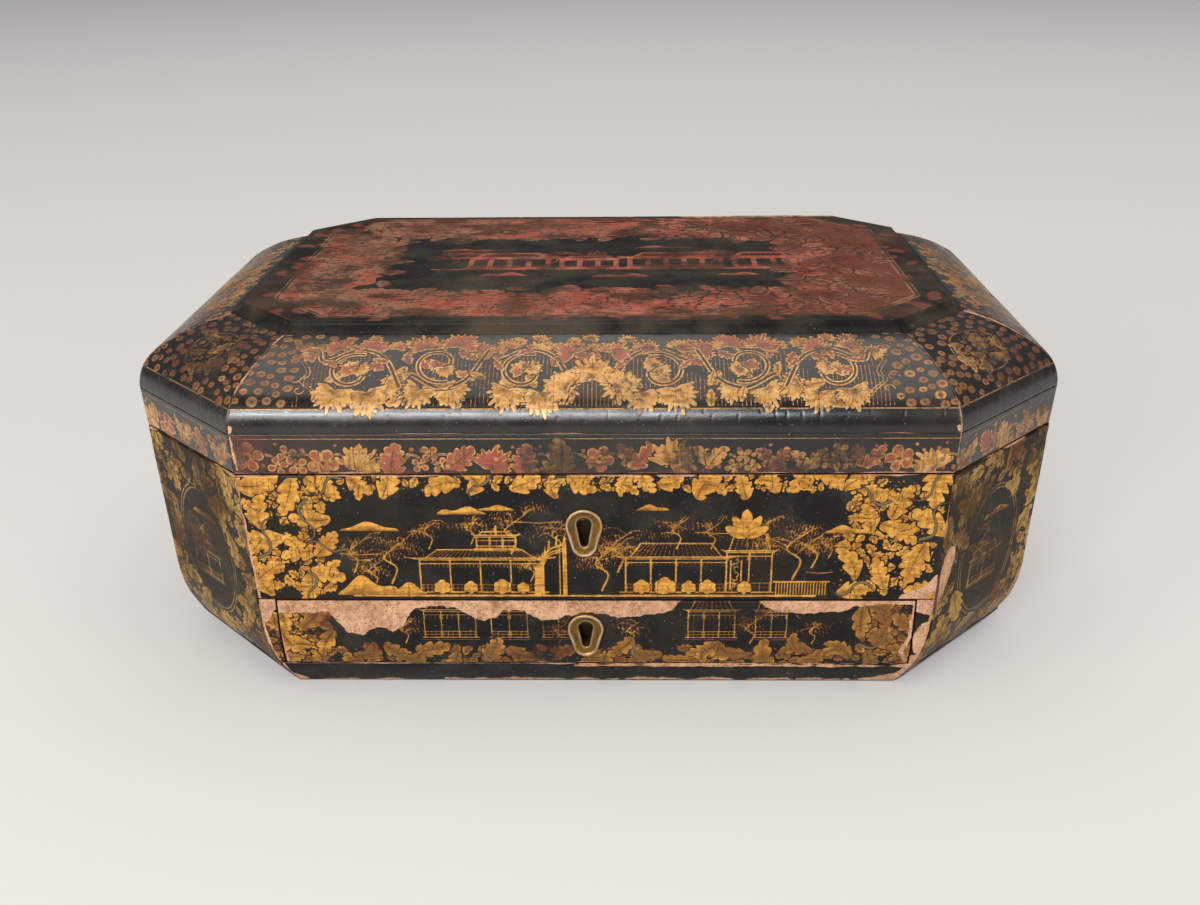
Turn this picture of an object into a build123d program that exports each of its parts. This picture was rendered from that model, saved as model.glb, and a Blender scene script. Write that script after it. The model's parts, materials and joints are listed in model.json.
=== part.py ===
"""Lacquered work box with canted corners, a shouldered lid, a lift-out tray and a drawer.

Millimetres, +Z up, the front faces -Y. The origin is under the middle of the box, on the table.
"""
import os
from math import acos, cos, degrees, radians, sin, sqrt

from build123d import *

os.makedirs("parts", exist_ok=True)

# Overall box, measured at the arris of the lid
box_width = 364.0
box_depth = 256.0
corner_leg = 50.0

# Heights of the case
foot_rail_height = 11.0
bottom_thickness = 8.0
drawer_opening_top = 42.0
well_floor_thickness = 4.0
case_height = 95.0

# Outer faces of the case, as setbacks from the arris of the lid
rim_setback = 0.8
knee_height = 32.0
front_knee_setback = 2.0
front_foot_setback = 10.0
side_knee_setback = 3.4
side_foot_setback = 16.0
wall_line = 13.0

# Lid
lid_gap = 0.3
band_height = 16.2
band_lean = 1.0
shoulder_run = 36.0
shoulder_edge_radius = 18.0
shoulder_top_radius = 76.0
shoulder_crown = 50.0
cove_run = 4.5
cove_height = 3.8
panel_thickness = 14.0

# Drawer
stile_inner_width = 3.6
drawer_side_gap = 0.5
drawer_top_gap = 0.5
drawer_seat_gap = 0.25
drawer_board = 5.0
drawer_side_height = 27.0
drawer_bottom_thickness = 3.0
drawer_bottom_lift = 1.0
drawer_back_room = 6.0
drawer_partition = 3.0
drawer_partition_height = 20.0
guide_thickness = 4.0
guide_tread = 12.0
guide_gap = 0.4

# Tray
tray_gap = 0.6
tray_wall = 4.0
tray_height = 26.0
tray_below_rim = 2.0
tray_floor_thickness = 3.0
tray_seat_gap = 0.3
tray_divider = 2.5
tray_divider_drop = 2.0
tray_row_share = 0.362
tray_middle_share = 0.365
tray_front_share = 0.304
bearer_thickness = 5.0
bearer_drop = 10.0

# Hinges
hinge_end_room = 7.6
hinge_length = 38.0
hinge_stand_off = 0.4
knuckle_radius = 2.0
knuckle_groove = 0.3
knuckle_gap = 0.3
knuckle_share = 12.4
pin_radius = 0.9
pin_play = 0.05
leaf_width = 9.6
leaf_thickness = 1.2

# Locks
lock_line = -3.5
lock_half_width = 22.0
lock_depth = 7.6
lock_wall = 1.0
lock_plate = 1.5
lid_lock_height = 36.0
bolt_chamber_half = 20.5
bolt_chamber_height = 11.6
lock_web = 2.0
key_chamber_half = 8.0
staple_thickness = 2.0
staple_width = 4.4
staple_drop = 7.0
staple_pitch = 22.0
staple_play = 0.5
eye_height = 3.2
eye_width = 2.8
eye_lift = 1.3
link_plate_width = 9.0
link_plate_thickness = 1.2
bolt_play = 0.3
bolt_travel = 4.5
bolt_bar_height = 4.2
bolt_bar_thickness = 4.8
finger_height = 2.4
finger_thickness = 2.2
finger_post = 2.4
drawer_lock_half_width = 16.0
drawer_lock_depth = 5.0
drawer_lock_height = 24.0
drawer_bolt_half_width = 6.0
drawer_bolt_thickness = 2.4
drawer_bolt_height = 6.6
drawer_bolt_travel = 4.0

# Escutcheons
plate_top_radius = 7.0
plate_foot_radius = 4.8
plate_spread = 8.3
plate_let_in = 0.9
plate_proud = 0.5
plate_rim_width = 1.3
plate_rim_proud = 0.5
keyhole_top_radius = 2.9
keyhole_foot_radius = 1.5
keyhole_spread = 8.0
keyhole_lift = 0.7
lid_keyhole_height = 70.0
drawer_keyhole_height = 25.2

# Plan of the whole box
half_width = box_width / 2
half_depth = box_depth / 2
mid_y = -(hinge_stand_off + knuckle_radius) / 2
corner_reach = (half_width + half_depth - corner_leg) / sqrt(2)
lid_base = case_height + lid_gap
arris_height = lid_base + band_height
beyond = 6.0
far = box_width

# Shoulder of the lid: a tight round at the arris runs into a wide one that is level at its crown
crown_drop = shoulder_top_radius - shoulder_edge_radius
edge_centre_run = shoulder_crown - shoulder_edge_radius
round_turn = degrees(acos(edge_centre_run / crown_drop))
crown_rise = shoulder_top_radius - crown_drop * sin(radians(round_turn))
wide_turn = degrees(acos((shoulder_crown - shoulder_run) / shoulder_top_radius)) - round_turn
seat_drop = shoulder_top_radius * (1 - sin(radians(round_turn + wide_turn)))
shoulder_top = arris_height + crown_rise - seat_drop
box_height = shoulder_top + cove_height

places = (
    "front",
    "front_right_corner",
    "right",
    "back_right_corner",
    "back",
    "back_left_corner",
    "left",
    "front_left_corner",
)


def octagon(inset):
    """The eight plan corners of the outline moved in by inset, from front left, counter-clockwise."""
    side = half_width - inset
    end = half_depth - inset
    diagonal = (corner_reach - inset) * sqrt(2)
    along = diagonal - end
    across = diagonal - side
    return [
        (-along, -end),
        (along, -end),
        (side, -across),
        (side, across),
        (along, end),
        (-along, end),
        (-side, across),
        (-side, -across),
    ]


def mitred_sector(place):
    """Plan of one side between its two mitre planes, from the wall line to beyond the outline."""
    inner = octagon(wall_line)
    outer = octagon(-beyond)
    after = (place + 1) % 8
    return [inner[place], inner[after], outer[after], outer[place]]


def plan(height):
    """Horizontal plane through the middle of the box."""
    return Plane((0, mid_y, height))


def upright(turn):
    """Upright plane through the middle of the box, its local x turned from +X by an angle."""
    along = (cos(radians(turn)), sin(radians(turn)), 0)
    facing = (sin(radians(turn)), -cos(radians(turn)), 0)
    return Plane((0, mid_y, 0), x_dir=along, z_dir=facing)


# Form of the case: four prisms, each with the section of two opposite faces, cut one another
case_faces = (
    (90, half_depth, front_knee_setback, front_foot_setback),
    (0, half_width, side_knee_setback, side_foot_setback),
    (45, corner_reach, side_knee_setback, side_foot_setback),
    (-45, corner_reach, side_knee_setback, side_foot_setback),
)
with BuildPart() as case_form:
    for number, (turn, reach, knee, foot) in enumerate(case_faces):
        with BuildSketch(upright(turn)):
            with BuildLine() as outline:
                top = Line((0, case_height), (reach - rim_setback, case_height))
                face = Line(top @ 1, (reach - knee, knee_height))
                curve = TangentArc(face @ 1, (reach - foot, 0), tangent=face % 1)
                Line(curve @ 1, (0, 0))
                mirror(outline.line, about=Plane.YZ)
            make_face()
        extrude(amount=far, both=True, mode=Mode.INTERSECT if number else Mode.ADD)

# Form of the lid: leaning band, rounded shoulder, cove and raised panel all round
lid_faces = ((90, half_depth), (0, half_width), (45, corner_reach), (-45, corner_reach))
with BuildPart() as lid_form:
    for number, (turn, reach) in enumerate(lid_faces):
        with BuildSketch(upright(turn)):
            with BuildLine() as outline:
                base = Line((0, lid_base), (reach - band_lean, lid_base))
                Line(base @ 1, (reach, arris_height))
                CenterArc(
                    (reach - shoulder_edge_radius, arris_height),
                    shoulder_edge_radius,
                    0,
                    round_turn,
                )
                wide_centre = (
                    reach - shoulder_crown,
                    arris_height + crown_rise - shoulder_top_radius,
                )
                shoulder = CenterArc(wide_centre, shoulder_top_radius, round_turn, wide_turn)
                seat = shoulder @ 1
                cove = TangentArc(
                    seat, (seat.X - cove_run, box_height), tangent=(-1, 0)
                )
                Line(cove @ 1, (0, box_height))
                mirror(outline.line, about=Plane.YZ)
            make_face()
        extrude(amount=far, both=True, mode=Mode.INTERSECT if number else Mode.ADD)

# Line of the front face of the case: straight above the knee, curved below it
front_slope = (front_knee_setback - rim_setback) / (case_height - knee_height)
curve_radius = (
    (front_foot_setback - front_knee_setback) ** 2 + knee_height**2
) / (2 * (front_foot_setback - front_knee_setback))


def front_face_y(height):
    """How far forward the front face of the case stands at a height."""
    if height > knee_height:
        setback = rim_setback + front_slope * (case_height - height)
    else:
        drop = knee_height - height
        setback = front_knee_setback + curve_radius - sqrt(curve_radius**2 - drop**2)
    return mid_y - half_depth + setback


def face_plane(height):
    """Plane on the front face at a height, its z out of the wood."""
    if height > knee_height:
        lean = front_slope
    else:
        drop = knee_height - height
        lean = drop / sqrt(curve_radius**2 - drop**2)
    place = (lock_line, front_face_y(height), height)
    return Plane(place, x_dir=(1, 0, 0), z_dir=(0, -1, -lean))


# Egg-shaped escutcheon plates with a raised rim and a keyhole that narrows downwards
lid_keyhole_plane = face_plane(lid_keyhole_height)
drawer_keyhole_plane = face_plane(drawer_keyhole_height)
plate_centres = (plate_spread / 2, -plate_spread / 2)
keyhole_centres = (keyhole_lift + keyhole_spread / 2, keyhole_lift - keyhole_spread / 2)


def egg(top_radius, foot_radius, top_centre, foot_centre):
    """Two circles one above the other, for a hull round them, as a face that narrows downwards."""
    with BuildSketch() as outline:
        with BuildLine():
            CenterArc((0, top_centre), top_radius, 0, 360)
            CenterArc((0, foot_centre), foot_radius, 0, 360)
        make_hull()
    return outline.sketch


plate_outline = egg(plate_top_radius, plate_foot_radius, *plate_centres)
plate_hollow = egg(
    plate_top_radius - plate_rim_width,
    plate_foot_radius - plate_rim_width,
    *plate_centres,
)
keyhole_outline = egg(keyhole_top_radius, keyhole_foot_radius, *keyhole_centres)
plates = {}
keyholes = {}
for name, keyhole_plane in (
    ("lid_escutcheon", lid_keyhole_plane),
    ("drawer_escutcheon", drawer_keyhole_plane),
):
    with BuildPart() as keyhole_cut:
        with BuildSketch(keyhole_plane.offset(-lock_depth)):
            add(keyhole_outline)
        extrude(amount=lock_depth + plate_proud + plate_rim_proud)
    with BuildPart() as plate:
        with BuildSketch(keyhole_plane.offset(-plate_let_in)):
            add(plate_outline)
        extrude(amount=plate_let_in + plate_proud + plate_rim_proud)
        with BuildSketch(keyhole_plane.offset(plate_proud)):
            add(plate_hollow)
        extrude(amount=plate_rim_proud, mode=Mode.SUBTRACT)
    plates[name] = plate.part
    keyholes[name] = keyhole_cut.part
    with BuildPart() as escutcheon:
        add(plate.part)
        add(keyhole_cut.part, mode=Mode.SUBTRACT)
    escutcheon.part.label = name
    export_step(escutcheon.part, f"parts/{name}.step")

# Hinges: knuckles on one line just outside the back, leaves let in flush
hinge_y = mid_y + half_depth + hinge_stand_off
hinge_z = case_height + lid_gap / 2
hinge_place = octagon(wall_line)[4][0] - hinge_end_room - hinge_length / 2
hinge_centres = (-hinge_place, hinge_place)
leaf_front_y = hinge_y - leaf_width
knuckle_line = Plane((0, hinge_y, hinge_z), x_dir=(0, 1, 0), z_dir=(1, 0, 0))
leaf_edge_y = hinge_y - knuckle_radius - knuckle_groove
outer_knuckle = hinge_length / 2 - knuckle_share / 2 - knuckle_gap / 2

with BuildPart() as hinge_pins:
    for centre in hinge_centres:
        with BuildSketch(knuckle_line.offset(centre - hinge_length / 2)):
            Circle(pin_radius)
        extrude(amount=hinge_length)
hinge_pins.part.label = "hinge_pins"
export_step(hinge_pins.part, "parts/hinge_pins.step")

with BuildPart() as knuckle_room:
    for centre in hinge_centres:
        with BuildSketch(knuckle_line.offset(centre - hinge_length / 2 - knuckle_gap)):
            Circle(knuckle_radius + knuckle_groove)
        extrude(amount=hinge_length + 2 * knuckle_gap)

leaf_middle_y = (leaf_front_y + leaf_edge_y) / 2
leaf_blocks = {}
for kind, base_z in (("case", case_height - leaf_thickness), ("lid", lid_base)):
    with BuildPart() as block:
        for centre in hinge_centres:
            with BuildSketch(plan(base_z)):
                with Locations((centre, (leaf_front_y + hinge_y) / 2 - mid_y)):
                    Rectangle(hinge_length, leaf_width)
            extrude(amount=leaf_thickness)
    leaf_blocks[kind] = block.part
    for side, centre in (("left", -hinge_place), ("right", hinge_place)):
        if kind == "case":
            spans = (
                (centre - hinge_length / 2, outer_knuckle),
                (centre + hinge_length / 2 - outer_knuckle, outer_knuckle),
            )
        else:
            spans = ((centre - knuckle_share / 2 + knuckle_gap / 2, knuckle_share - knuckle_gap),)
        with BuildPart() as leaf:
            with BuildSketch(plan(base_z)):
                with Locations((centre, leaf_middle_y - mid_y)):
                    Rectangle(hinge_length, leaf_edge_y - leaf_front_y)
            extrude(amount=leaf_thickness)
            for start, length in spans:
                with BuildSketch(plan(base_z)):
                    with Locations((start + length / 2, (leaf_edge_y + hinge_y) / 2 - mid_y)):
                        Rectangle(length, hinge_y - leaf_edge_y)
                extrude(amount=leaf_thickness)
                with BuildSketch(knuckle_line.offset(start)):
                    Circle(knuckle_radius)
                extrude(amount=length)
            with BuildSketch(knuckle_line.offset(centre - hinge_length)):
                Circle(pin_radius + pin_play)
            extrude(amount=2 * hinge_length, mode=Mode.SUBTRACT)
        leaf.part.label = f"hinge_{kind}_leaf_{side}"
        export_step(leaf.part, f"parts/hinge_{kind}_leaf_{side}.step")

# Lid lock: a case let into the front from above, its sliding bolt and the link plate of the lid
lock_middle_y = mid_y - half_depth + wall_line - (wall_line - rim_setback) / 2
lock_plan_y = lock_middle_y - mid_y
bolt_floor = case_height - lock_plate - bolt_chamber_height
key_chamber_top = bolt_floor - lock_web
lock_foot = case_height - lid_lock_height
with BuildPart() as lid_lock_block:
    with BuildSketch(plan(lock_foot)):
        with Locations((lock_line, lock_plan_y)):
            Rectangle(2 * lock_half_width, lock_depth)
    extrude(amount=lid_lock_height)
staple_centres = [(lock_line + side * staple_pitch / 2, lock_plan_y) for side in (-1, 1)]
with BuildPart() as lid_lock_case:
    add(lid_lock_block.part)
    with BuildSketch(plan(bolt_floor)):
        with Locations((lock_line, lock_plan_y)):
            Rectangle(2 * bolt_chamber_half, lock_depth - 2 * lock_wall)
    extrude(amount=bolt_chamber_height, mode=Mode.SUBTRACT)
    with BuildSketch(plan(lock_foot + lock_plate)):
        with Locations((lock_line, lock_plan_y)):
            Rectangle(2 * key_chamber_half, lock_depth - 2 * lock_wall)
    extrude(amount=key_chamber_top - lock_foot - lock_plate, mode=Mode.SUBTRACT)
    with BuildSketch(plan(case_height - lock_plate)):
        with Locations(*staple_centres):
            Rectangle(staple_thickness + 2 * staple_play, staple_width + 2 * staple_play)
    extrude(amount=lock_plate, mode=Mode.SUBTRACT)
    add(keyholes["lid_escutcheon"], mode=Mode.SUBTRACT)
lid_lock_case.part.label = "lid_lock_case"
export_step(lid_lock_case.part, "parts/lid_lock_case.step")

eye_foot = lid_base - staple_drop + eye_lift
finger_foot = eye_foot + (eye_height - finger_height) / 2
bolt_foot = bolt_floor + bolt_play
with BuildPart() as lid_lock_bolt:
    finger_reach = bolt_travel + bolt_play
    finger_end = lock_line - (staple_pitch + staple_thickness) / 2 - bolt_play
    bar_start = finger_end - finger_reach - finger_post
    bar_length = staple_pitch + finger_post
    with BuildSketch(plan(bolt_foot)):
        with Locations((bar_start + bar_length / 2, lock_plan_y)):
            Rectangle(bar_length, bolt_bar_thickness)
    extrude(amount=bolt_bar_height)
    for start in (bar_start, bar_start + staple_pitch):
        with BuildSketch(plan(bolt_foot)):
            with Locations((start + finger_post / 2, lock_plan_y)):
                Rectangle(finger_post, finger_thickness)
        extrude(amount=finger_foot + finger_height - bolt_foot)
        with BuildSketch(plan(finger_foot)):
            with Locations((start + finger_post + finger_reach / 2, lock_plan_y)):
                Rectangle(finger_reach, finger_thickness)
        extrude(amount=finger_height)
lid_lock_bolt.part.label = "lid_lock_bolt"
export_step(lid_lock_bolt.part, "parts/lid_lock_bolt.step")

with BuildPart() as link_plate_block:
    with BuildSketch(plan(lid_base)):
        with Locations((lock_line, lock_plan_y)):
            Rectangle(2 * lock_half_width, link_plate_width)
    extrude(amount=link_plate_thickness)
with BuildPart() as lid_link_plate:
    add(link_plate_block.part)
    with BuildSketch(plan(lid_base - staple_drop)):
        with Locations(*staple_centres):
            Rectangle(staple_thickness, staple_width)
    extrude(amount=staple_drop)
    with BuildSketch(upright(90).offset(lock_line - staple_pitch)):
        with Locations((lock_plan_y, eye_foot + eye_height / 2)):
            Rectangle(eye_width, eye_height)
    extrude(amount=2 * staple_pitch, mode=Mode.SUBTRACT)
lid_link_plate.part.label = "lid_link_plate"
export_step(lid_link_plate.part, "parts/lid_link_plate.step")

# Drawer lock: a small case in the top of the drawer front with a bolt that rises
drawer_top = drawer_opening_top - drawer_top_gap
drawer_base = foot_rail_height + drawer_seat_gap
front_back_y = mid_y - half_depth + wall_line
drawer_lock_plan_y = wall_line - half_depth - drawer_lock_depth / 2
drawer_bolt_foot = drawer_top - drawer_bolt_height
drawer_bolt_floor = drawer_bolt_foot - bolt_play
drawer_lock_foot = drawer_top - drawer_lock_height
drawer_key_room = drawer_bolt_floor - lock_wall - drawer_lock_foot - lock_plate
with BuildPart() as drawer_lock_block:
    with BuildSketch(plan(drawer_lock_foot)):
        with Locations((lock_line, drawer_lock_plan_y)):
            Rectangle(2 * drawer_lock_half_width, drawer_lock_depth)
    extrude(amount=drawer_lock_height)
with BuildPart() as drawer_lock_case:
    add(drawer_lock_block.part)
    with BuildSketch(plan(drawer_bolt_floor)):
        with Locations((lock_line, drawer_lock_plan_y)):
            Rectangle(
                2 * (drawer_bolt_half_width + bolt_play),
                drawer_bolt_thickness + 2 * bolt_play,
            )
    extrude(amount=drawer_lock_height, mode=Mode.SUBTRACT)
    with BuildSketch(plan(drawer_lock_foot + lock_plate)):
        with Locations((lock_line, drawer_lock_plan_y)):
            Rectangle(2 * key_chamber_half, drawer_lock_depth - 2 * lock_wall)
    extrude(amount=drawer_key_room, mode=Mode.SUBTRACT)
    add(keyholes["drawer_escutcheon"], mode=Mode.SUBTRACT)
drawer_lock_case.part.label = "drawer_lock_case"
export_step(drawer_lock_case.part, "parts/drawer_lock_case.step")

with BuildPart() as drawer_lock_bolt:
    with BuildSketch(plan(drawer_bolt_foot)):
        with Locations((lock_line, drawer_lock_plan_y)):
            Rectangle(2 * drawer_bolt_half_width, drawer_bolt_thickness)
    extrude(amount=drawer_bolt_height)
drawer_lock_bolt.part.label = "drawer_lock_bolt"
export_step(drawer_lock_bolt.part, "parts/drawer_lock_bolt.step")

# Walls of the case: mitred boards cut from the form, on the bottom board
for place, side in enumerate(places):
    if side == "front":
        continue
    with BuildPart() as board:
        add(case_form.part)
        with BuildSketch(plan(bottom_thickness)):
            Polygon(*mitred_sector(place), align=None)
        extrude(amount=case_height - bottom_thickness, mode=Mode.INTERSECT)
        if side == "back":
            add(leaf_blocks["case"], mode=Mode.SUBTRACT)
            add(knuckle_room.part, mode=Mode.SUBTRACT)
    board.part.label = f"case_{side}"
    export_step(board.part, f"parts/case_{side}.step")

with BuildPart() as case_front:
    add(case_form.part)
    with BuildSketch(plan(drawer_opening_top)):
        Polygon(*mitred_sector(0), align=None)
    extrude(amount=case_height - drawer_opening_top, mode=Mode.INTERSECT)
    add(lid_lock_block.part, mode=Mode.SUBTRACT)
    add(plates["lid_escutcheon"], mode=Mode.SUBTRACT)
    add(keyholes["lid_escutcheon"], mode=Mode.SUBTRACT)
    with BuildSketch(plan(drawer_opening_top)):
        with Locations((lock_line, drawer_lock_plan_y)):
            Rectangle(
                2 * (drawer_bolt_half_width + 2 * bolt_play),
                drawer_bolt_thickness + 4 * bolt_play,
            )
    extrude(amount=drawer_bolt_travel + bolt_play, mode=Mode.SUBTRACT)
case_front.part.label = "case_front"
export_step(case_front.part, "parts/case_front.step")

drawer_half_opening = octagon(wall_line)[1][0] - stile_inner_width
for side, sign in (("left", -1), ("right", 1)):
    with BuildPart() as stile:
        add(case_form.part)
        with BuildSketch(plan(foot_rail_height)):
            Polygon(*mitred_sector(0), align=None)
        extrude(amount=drawer_opening_top - foot_rail_height, mode=Mode.INTERSECT)
        with BuildSketch(plan(foot_rail_height)):
            with Locations((sign * (drawer_half_opening + far / 2), 0)):
                Rectangle(far, far)
        extrude(amount=drawer_opening_top - foot_rail_height, mode=Mode.INTERSECT)
    stile.part.label = f"front_stile_{side}"
    export_step(stile.part, f"parts/front_stile_{side}.step")

with BuildPart() as foot_rail:
    add(case_form.part)
    with BuildSketch(plan(0)):
        Polygon(*mitred_sector(0), align=None)
    extrude(amount=foot_rail_height, mode=Mode.INTERSECT)
foot_rail.part.label = "foot_rail"
export_step(foot_rail.part, "parts/foot_rail.step")

with BuildPart() as bottom_board:
    add(case_form.part)
    with BuildSketch(plan(0)):
        Rectangle(far, far)
    extrude(amount=bottom_thickness, mode=Mode.INTERSECT)
    add(foot_rail.part, mode=Mode.SUBTRACT)
bottom_board.part.label = "bottom_board"
export_step(bottom_board.part, "parts/bottom_board.step")

with BuildPart() as well_floor:
    with BuildSketch(plan(drawer_opening_top)):
        Polygon(*octagon(wall_line), align=None)
    extrude(amount=well_floor_thickness)
well_floor.part.label = "well_floor"
export_step(well_floor.part, "parts/well_floor.step")

# Runners with upright guides carry the drawer and the floor of the well
drawer_half_width = drawer_half_opening - drawer_side_gap
guide_face = drawer_half_width - drawer_side_gap + guide_gap
case_back_y = half_depth - wall_line
for side, sign in (("left", -1), ("right", 1)):
    with BuildPart() as guide:
        with BuildSketch(upright(0).offset(-case_back_y)):
            with BuildLine():
                Polyline(
                    (sign * (guide_face + guide_thickness), bottom_thickness),
                    (sign * (guide_face + guide_thickness), drawer_opening_top),
                    (sign * guide_face, drawer_opening_top),
                    (sign * guide_face, foot_rail_height),
                    (sign * (guide_face - guide_tread), foot_rail_height),
                    (sign * (guide_face - guide_tread), bottom_thickness),
                    close=True,
                )
            make_face()
        extrude(amount=2 * case_back_y)
    guide.part.label = f"drawer_guide_{side}"
    export_step(guide.part, f"parts/drawer_guide_{side}.step")

# Drawer: shaped front, two sides, back, bottom and partitions
side_top = drawer_base + drawer_side_height
side_outer = drawer_half_width - drawer_side_gap
drawer_front_back = wall_line - half_depth
drawer_length = 2 * (half_depth - wall_line) - drawer_back_room
drawer_back_inner = drawer_front_back + drawer_length - drawer_board
drawer_bottom_base = drawer_base + drawer_bottom_lift
with BuildPart() as drawer_front:
    add(case_form.part)
    with BuildSketch(plan(drawer_base)):
        with Locations((0, drawer_front_back - far / 2)):
            Rectangle(2 * drawer_half_width, far)
    extrude(amount=drawer_top - drawer_base, mode=Mode.INTERSECT)
    add(drawer_lock_block.part, mode=Mode.SUBTRACT)
    add(plates["drawer_escutcheon"], mode=Mode.SUBTRACT)
    add(keyholes["drawer_escutcheon"], mode=Mode.SUBTRACT)
drawer_front.part.label = "drawer_front"
export_step(drawer_front.part, "parts/drawer_front.step")

side_middle = side_outer - drawer_board / 2
for side, sign in (("left", -1), ("right", 1)):
    with BuildPart() as board:
        with BuildSketch(plan(drawer_base)):
            with Locations((sign * side_middle, drawer_front_back + drawer_length / 2)):
                Rectangle(drawer_board, drawer_length)
        extrude(amount=drawer_side_height)
    board.part.label = f"drawer_side_{side}"
    export_step(board.part, f"parts/drawer_side_{side}.step")

inner_half = side_outer - drawer_board
with BuildPart() as drawer_back:
    with BuildSketch(plan(drawer_base)):
        with Locations((0, drawer_back_inner + drawer_board / 2)):
            Rectangle(2 * inner_half, drawer_board)
    extrude(amount=drawer_side_height)
drawer_back.part.label = "drawer_back"
export_step(drawer_back.part, "parts/drawer_back.step")

inner_length = drawer_back_inner - drawer_front_back
inner_middle = (drawer_back_inner + drawer_front_back) / 2
with BuildPart() as drawer_bottom:
    with BuildSketch(plan(drawer_bottom_base)):
        with Locations((0, inner_middle)):
            Rectangle(2 * inner_half, inner_length)
    extrude(amount=drawer_bottom_thickness)
drawer_bottom.part.label = "drawer_bottom"
export_step(drawer_bottom.part, "parts/drawer_bottom.step")

drawer_floor = drawer_bottom_base + drawer_bottom_thickness
partition_line = inner_half / 3
with BuildPart() as drawer_partitions:
    with BuildSketch(plan(drawer_floor)):
        with Locations((-partition_line, inner_middle), (partition_line, inner_middle)):
            Rectangle(drawer_partition, inner_length)
    extrude(amount=drawer_partition_height)
drawer_partitions.part.label = "drawer_partitions"
export_step(drawer_partitions.part, "parts/drawer_partitions.step")

# Tray: octagonal frame, floor and dividers, on two bearers in the well
tray_top = case_height - tray_below_rim
tray_foot = tray_top - tray_height
tray_outer = wall_line + tray_gap
tray_inner = tray_outer + tray_wall
bearer_top = tray_foot - tray_seat_gap
with BuildPart() as tray_frame:
    with BuildSketch(plan(tray_foot)):
        Polygon(*octagon(tray_outer), align=None)
        Polygon(*octagon(tray_inner), align=None, mode=Mode.SUBTRACT)
    extrude(amount=tray_height)
tray_frame.part.label = "tray_frame"
export_step(tray_frame.part, "parts/tray_frame.step")

with BuildPart() as tray_floor:
    with BuildSketch(plan(tray_foot)):
        Polygon(*octagon(tray_inner), align=None)
    extrude(amount=tray_floor_thickness)
tray_floor.part.label = "tray_floor"
export_step(tray_floor.part, "parts/tray_floor.step")

divider_base = tray_foot + tray_floor_thickness
divider_height = tray_height - tray_floor_thickness - tray_divider_drop
tray_half_inner = half_width - tray_inner
tray_end_inner = half_depth - tray_inner
tray_row_line = tray_row_share * tray_end_inner
tray_middle_line = tray_middle_share * tray_half_inner
tray_front_line = tray_front_share * tray_half_inner
with BuildPart() as tray_long_dividers:
    with BuildSketch(plan(divider_base)):
        with Locations((0, -tray_row_line), (0, tray_row_line)):
            Rectangle(2 * tray_half_inner, tray_divider)
    extrude(amount=divider_height)
tray_long_dividers.part.label = "tray_long_dividers"
export_step(tray_long_dividers.part, "parts/tray_long_dividers.step")

row_inner = tray_row_line - tray_divider / 2
row_outer = tray_row_line + tray_divider / 2
end_length = tray_end_inner - row_outer
end_middle = row_outer + end_length / 2
with BuildPart() as tray_cross_dividers:
    with BuildSketch(plan(divider_base)):
        with Locations((-tray_middle_line, 0), (tray_middle_line, 0)):
            Rectangle(tray_divider, 2 * row_inner)
        with Locations((-tray_front_line, -end_middle), (tray_front_line, -end_middle)):
            Rectangle(tray_divider, end_length)
        with Locations((0, end_middle)):
            Rectangle(tray_divider, end_length)
    extrude(amount=divider_height)
tray_cross_dividers.part.label = "tray_cross_dividers"
export_step(tray_cross_dividers.part, "parts/tray_cross_dividers.step")

bearer_half = octagon(wall_line)[3][1]
for side, sign in (("left", -1), ("right", 1)):
    with BuildPart() as bearer:
        with BuildSketch(plan(bearer_top - bearer_drop)):
            with Locations((sign * (half_width - wall_line - bearer_thickness / 2), 0)):
                Rectangle(bearer_thickness, 2 * bearer_half)
        extrude(amount=bearer_drop)
    bearer.part.label = f"tray_bearer_{side}"
    export_step(bearer.part, f"parts/tray_bearer_{side}.step")

# Lid: mitred band boards, mitred shoulder boards and the raised panel
panel_inset = shoulder_run
panel_base = box_height - panel_thickness
with BuildPart() as lid_hollow:
    with BuildSketch(plan(lid_base - beyond)):
        Polygon(*octagon(wall_line), align=None)
    extrude(amount=band_height + beyond)
    with BuildSketch(plan(arris_height)):
        Polygon(*octagon(wall_line), align=None)
    with BuildSketch(plan(panel_base)):
        Polygon(*octagon(panel_inset), align=None)
    loft(ruled=True)
with BuildPart() as panel_block:
    with BuildSketch(plan(panel_base)):
        Polygon(*octagon(panel_inset), align=None)
    extrude(amount=panel_thickness + beyond)

for place, side in enumerate(places):
    with BuildPart() as band_board:
        add(lid_form.part)
        with BuildSketch(plan(lid_base)):
            Polygon(*mitred_sector(place), align=None)
        extrude(amount=band_height, mode=Mode.INTERSECT)
        if side == "back":
            add(leaf_blocks["lid"], mode=Mode.SUBTRACT)
            add(knuckle_room.part, mode=Mode.SUBTRACT)
        if side == "front":
            add(link_plate_block.part, mode=Mode.SUBTRACT)
    band_board.part.label = f"lid_band_{side}"
    export_step(band_board.part, f"parts/lid_band_{side}.step")

    inner = octagon(panel_inset)
    outer = octagon(-beyond)
    after = (place + 1) % 8
    with BuildPart() as shoulder_board:
        add(lid_form.part)
        with BuildSketch(plan(arris_height)):
            Polygon(inner[place], inner[after], outer[after], outer[place], align=None)
        extrude(amount=shoulder_top - arris_height, mode=Mode.INTERSECT)
        add(lid_hollow.part, mode=Mode.SUBTRACT)
    shoulder_board.part.label = f"lid_shoulder_{side}"
    export_step(shoulder_board.part, f"parts/lid_shoulder_{side}.step")

with BuildPart() as lid_panel:
    add(lid_form.part)
    with BuildSketch(plan(panel_base)):
        Polygon(*octagon(panel_inset), align=None)
    extrude(amount=panel_thickness, mode=Mode.INTERSECT)
lid_panel.part.label = "lid_panel"
export_step(lid_panel.part, "parts/lid_panel.step")
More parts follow.
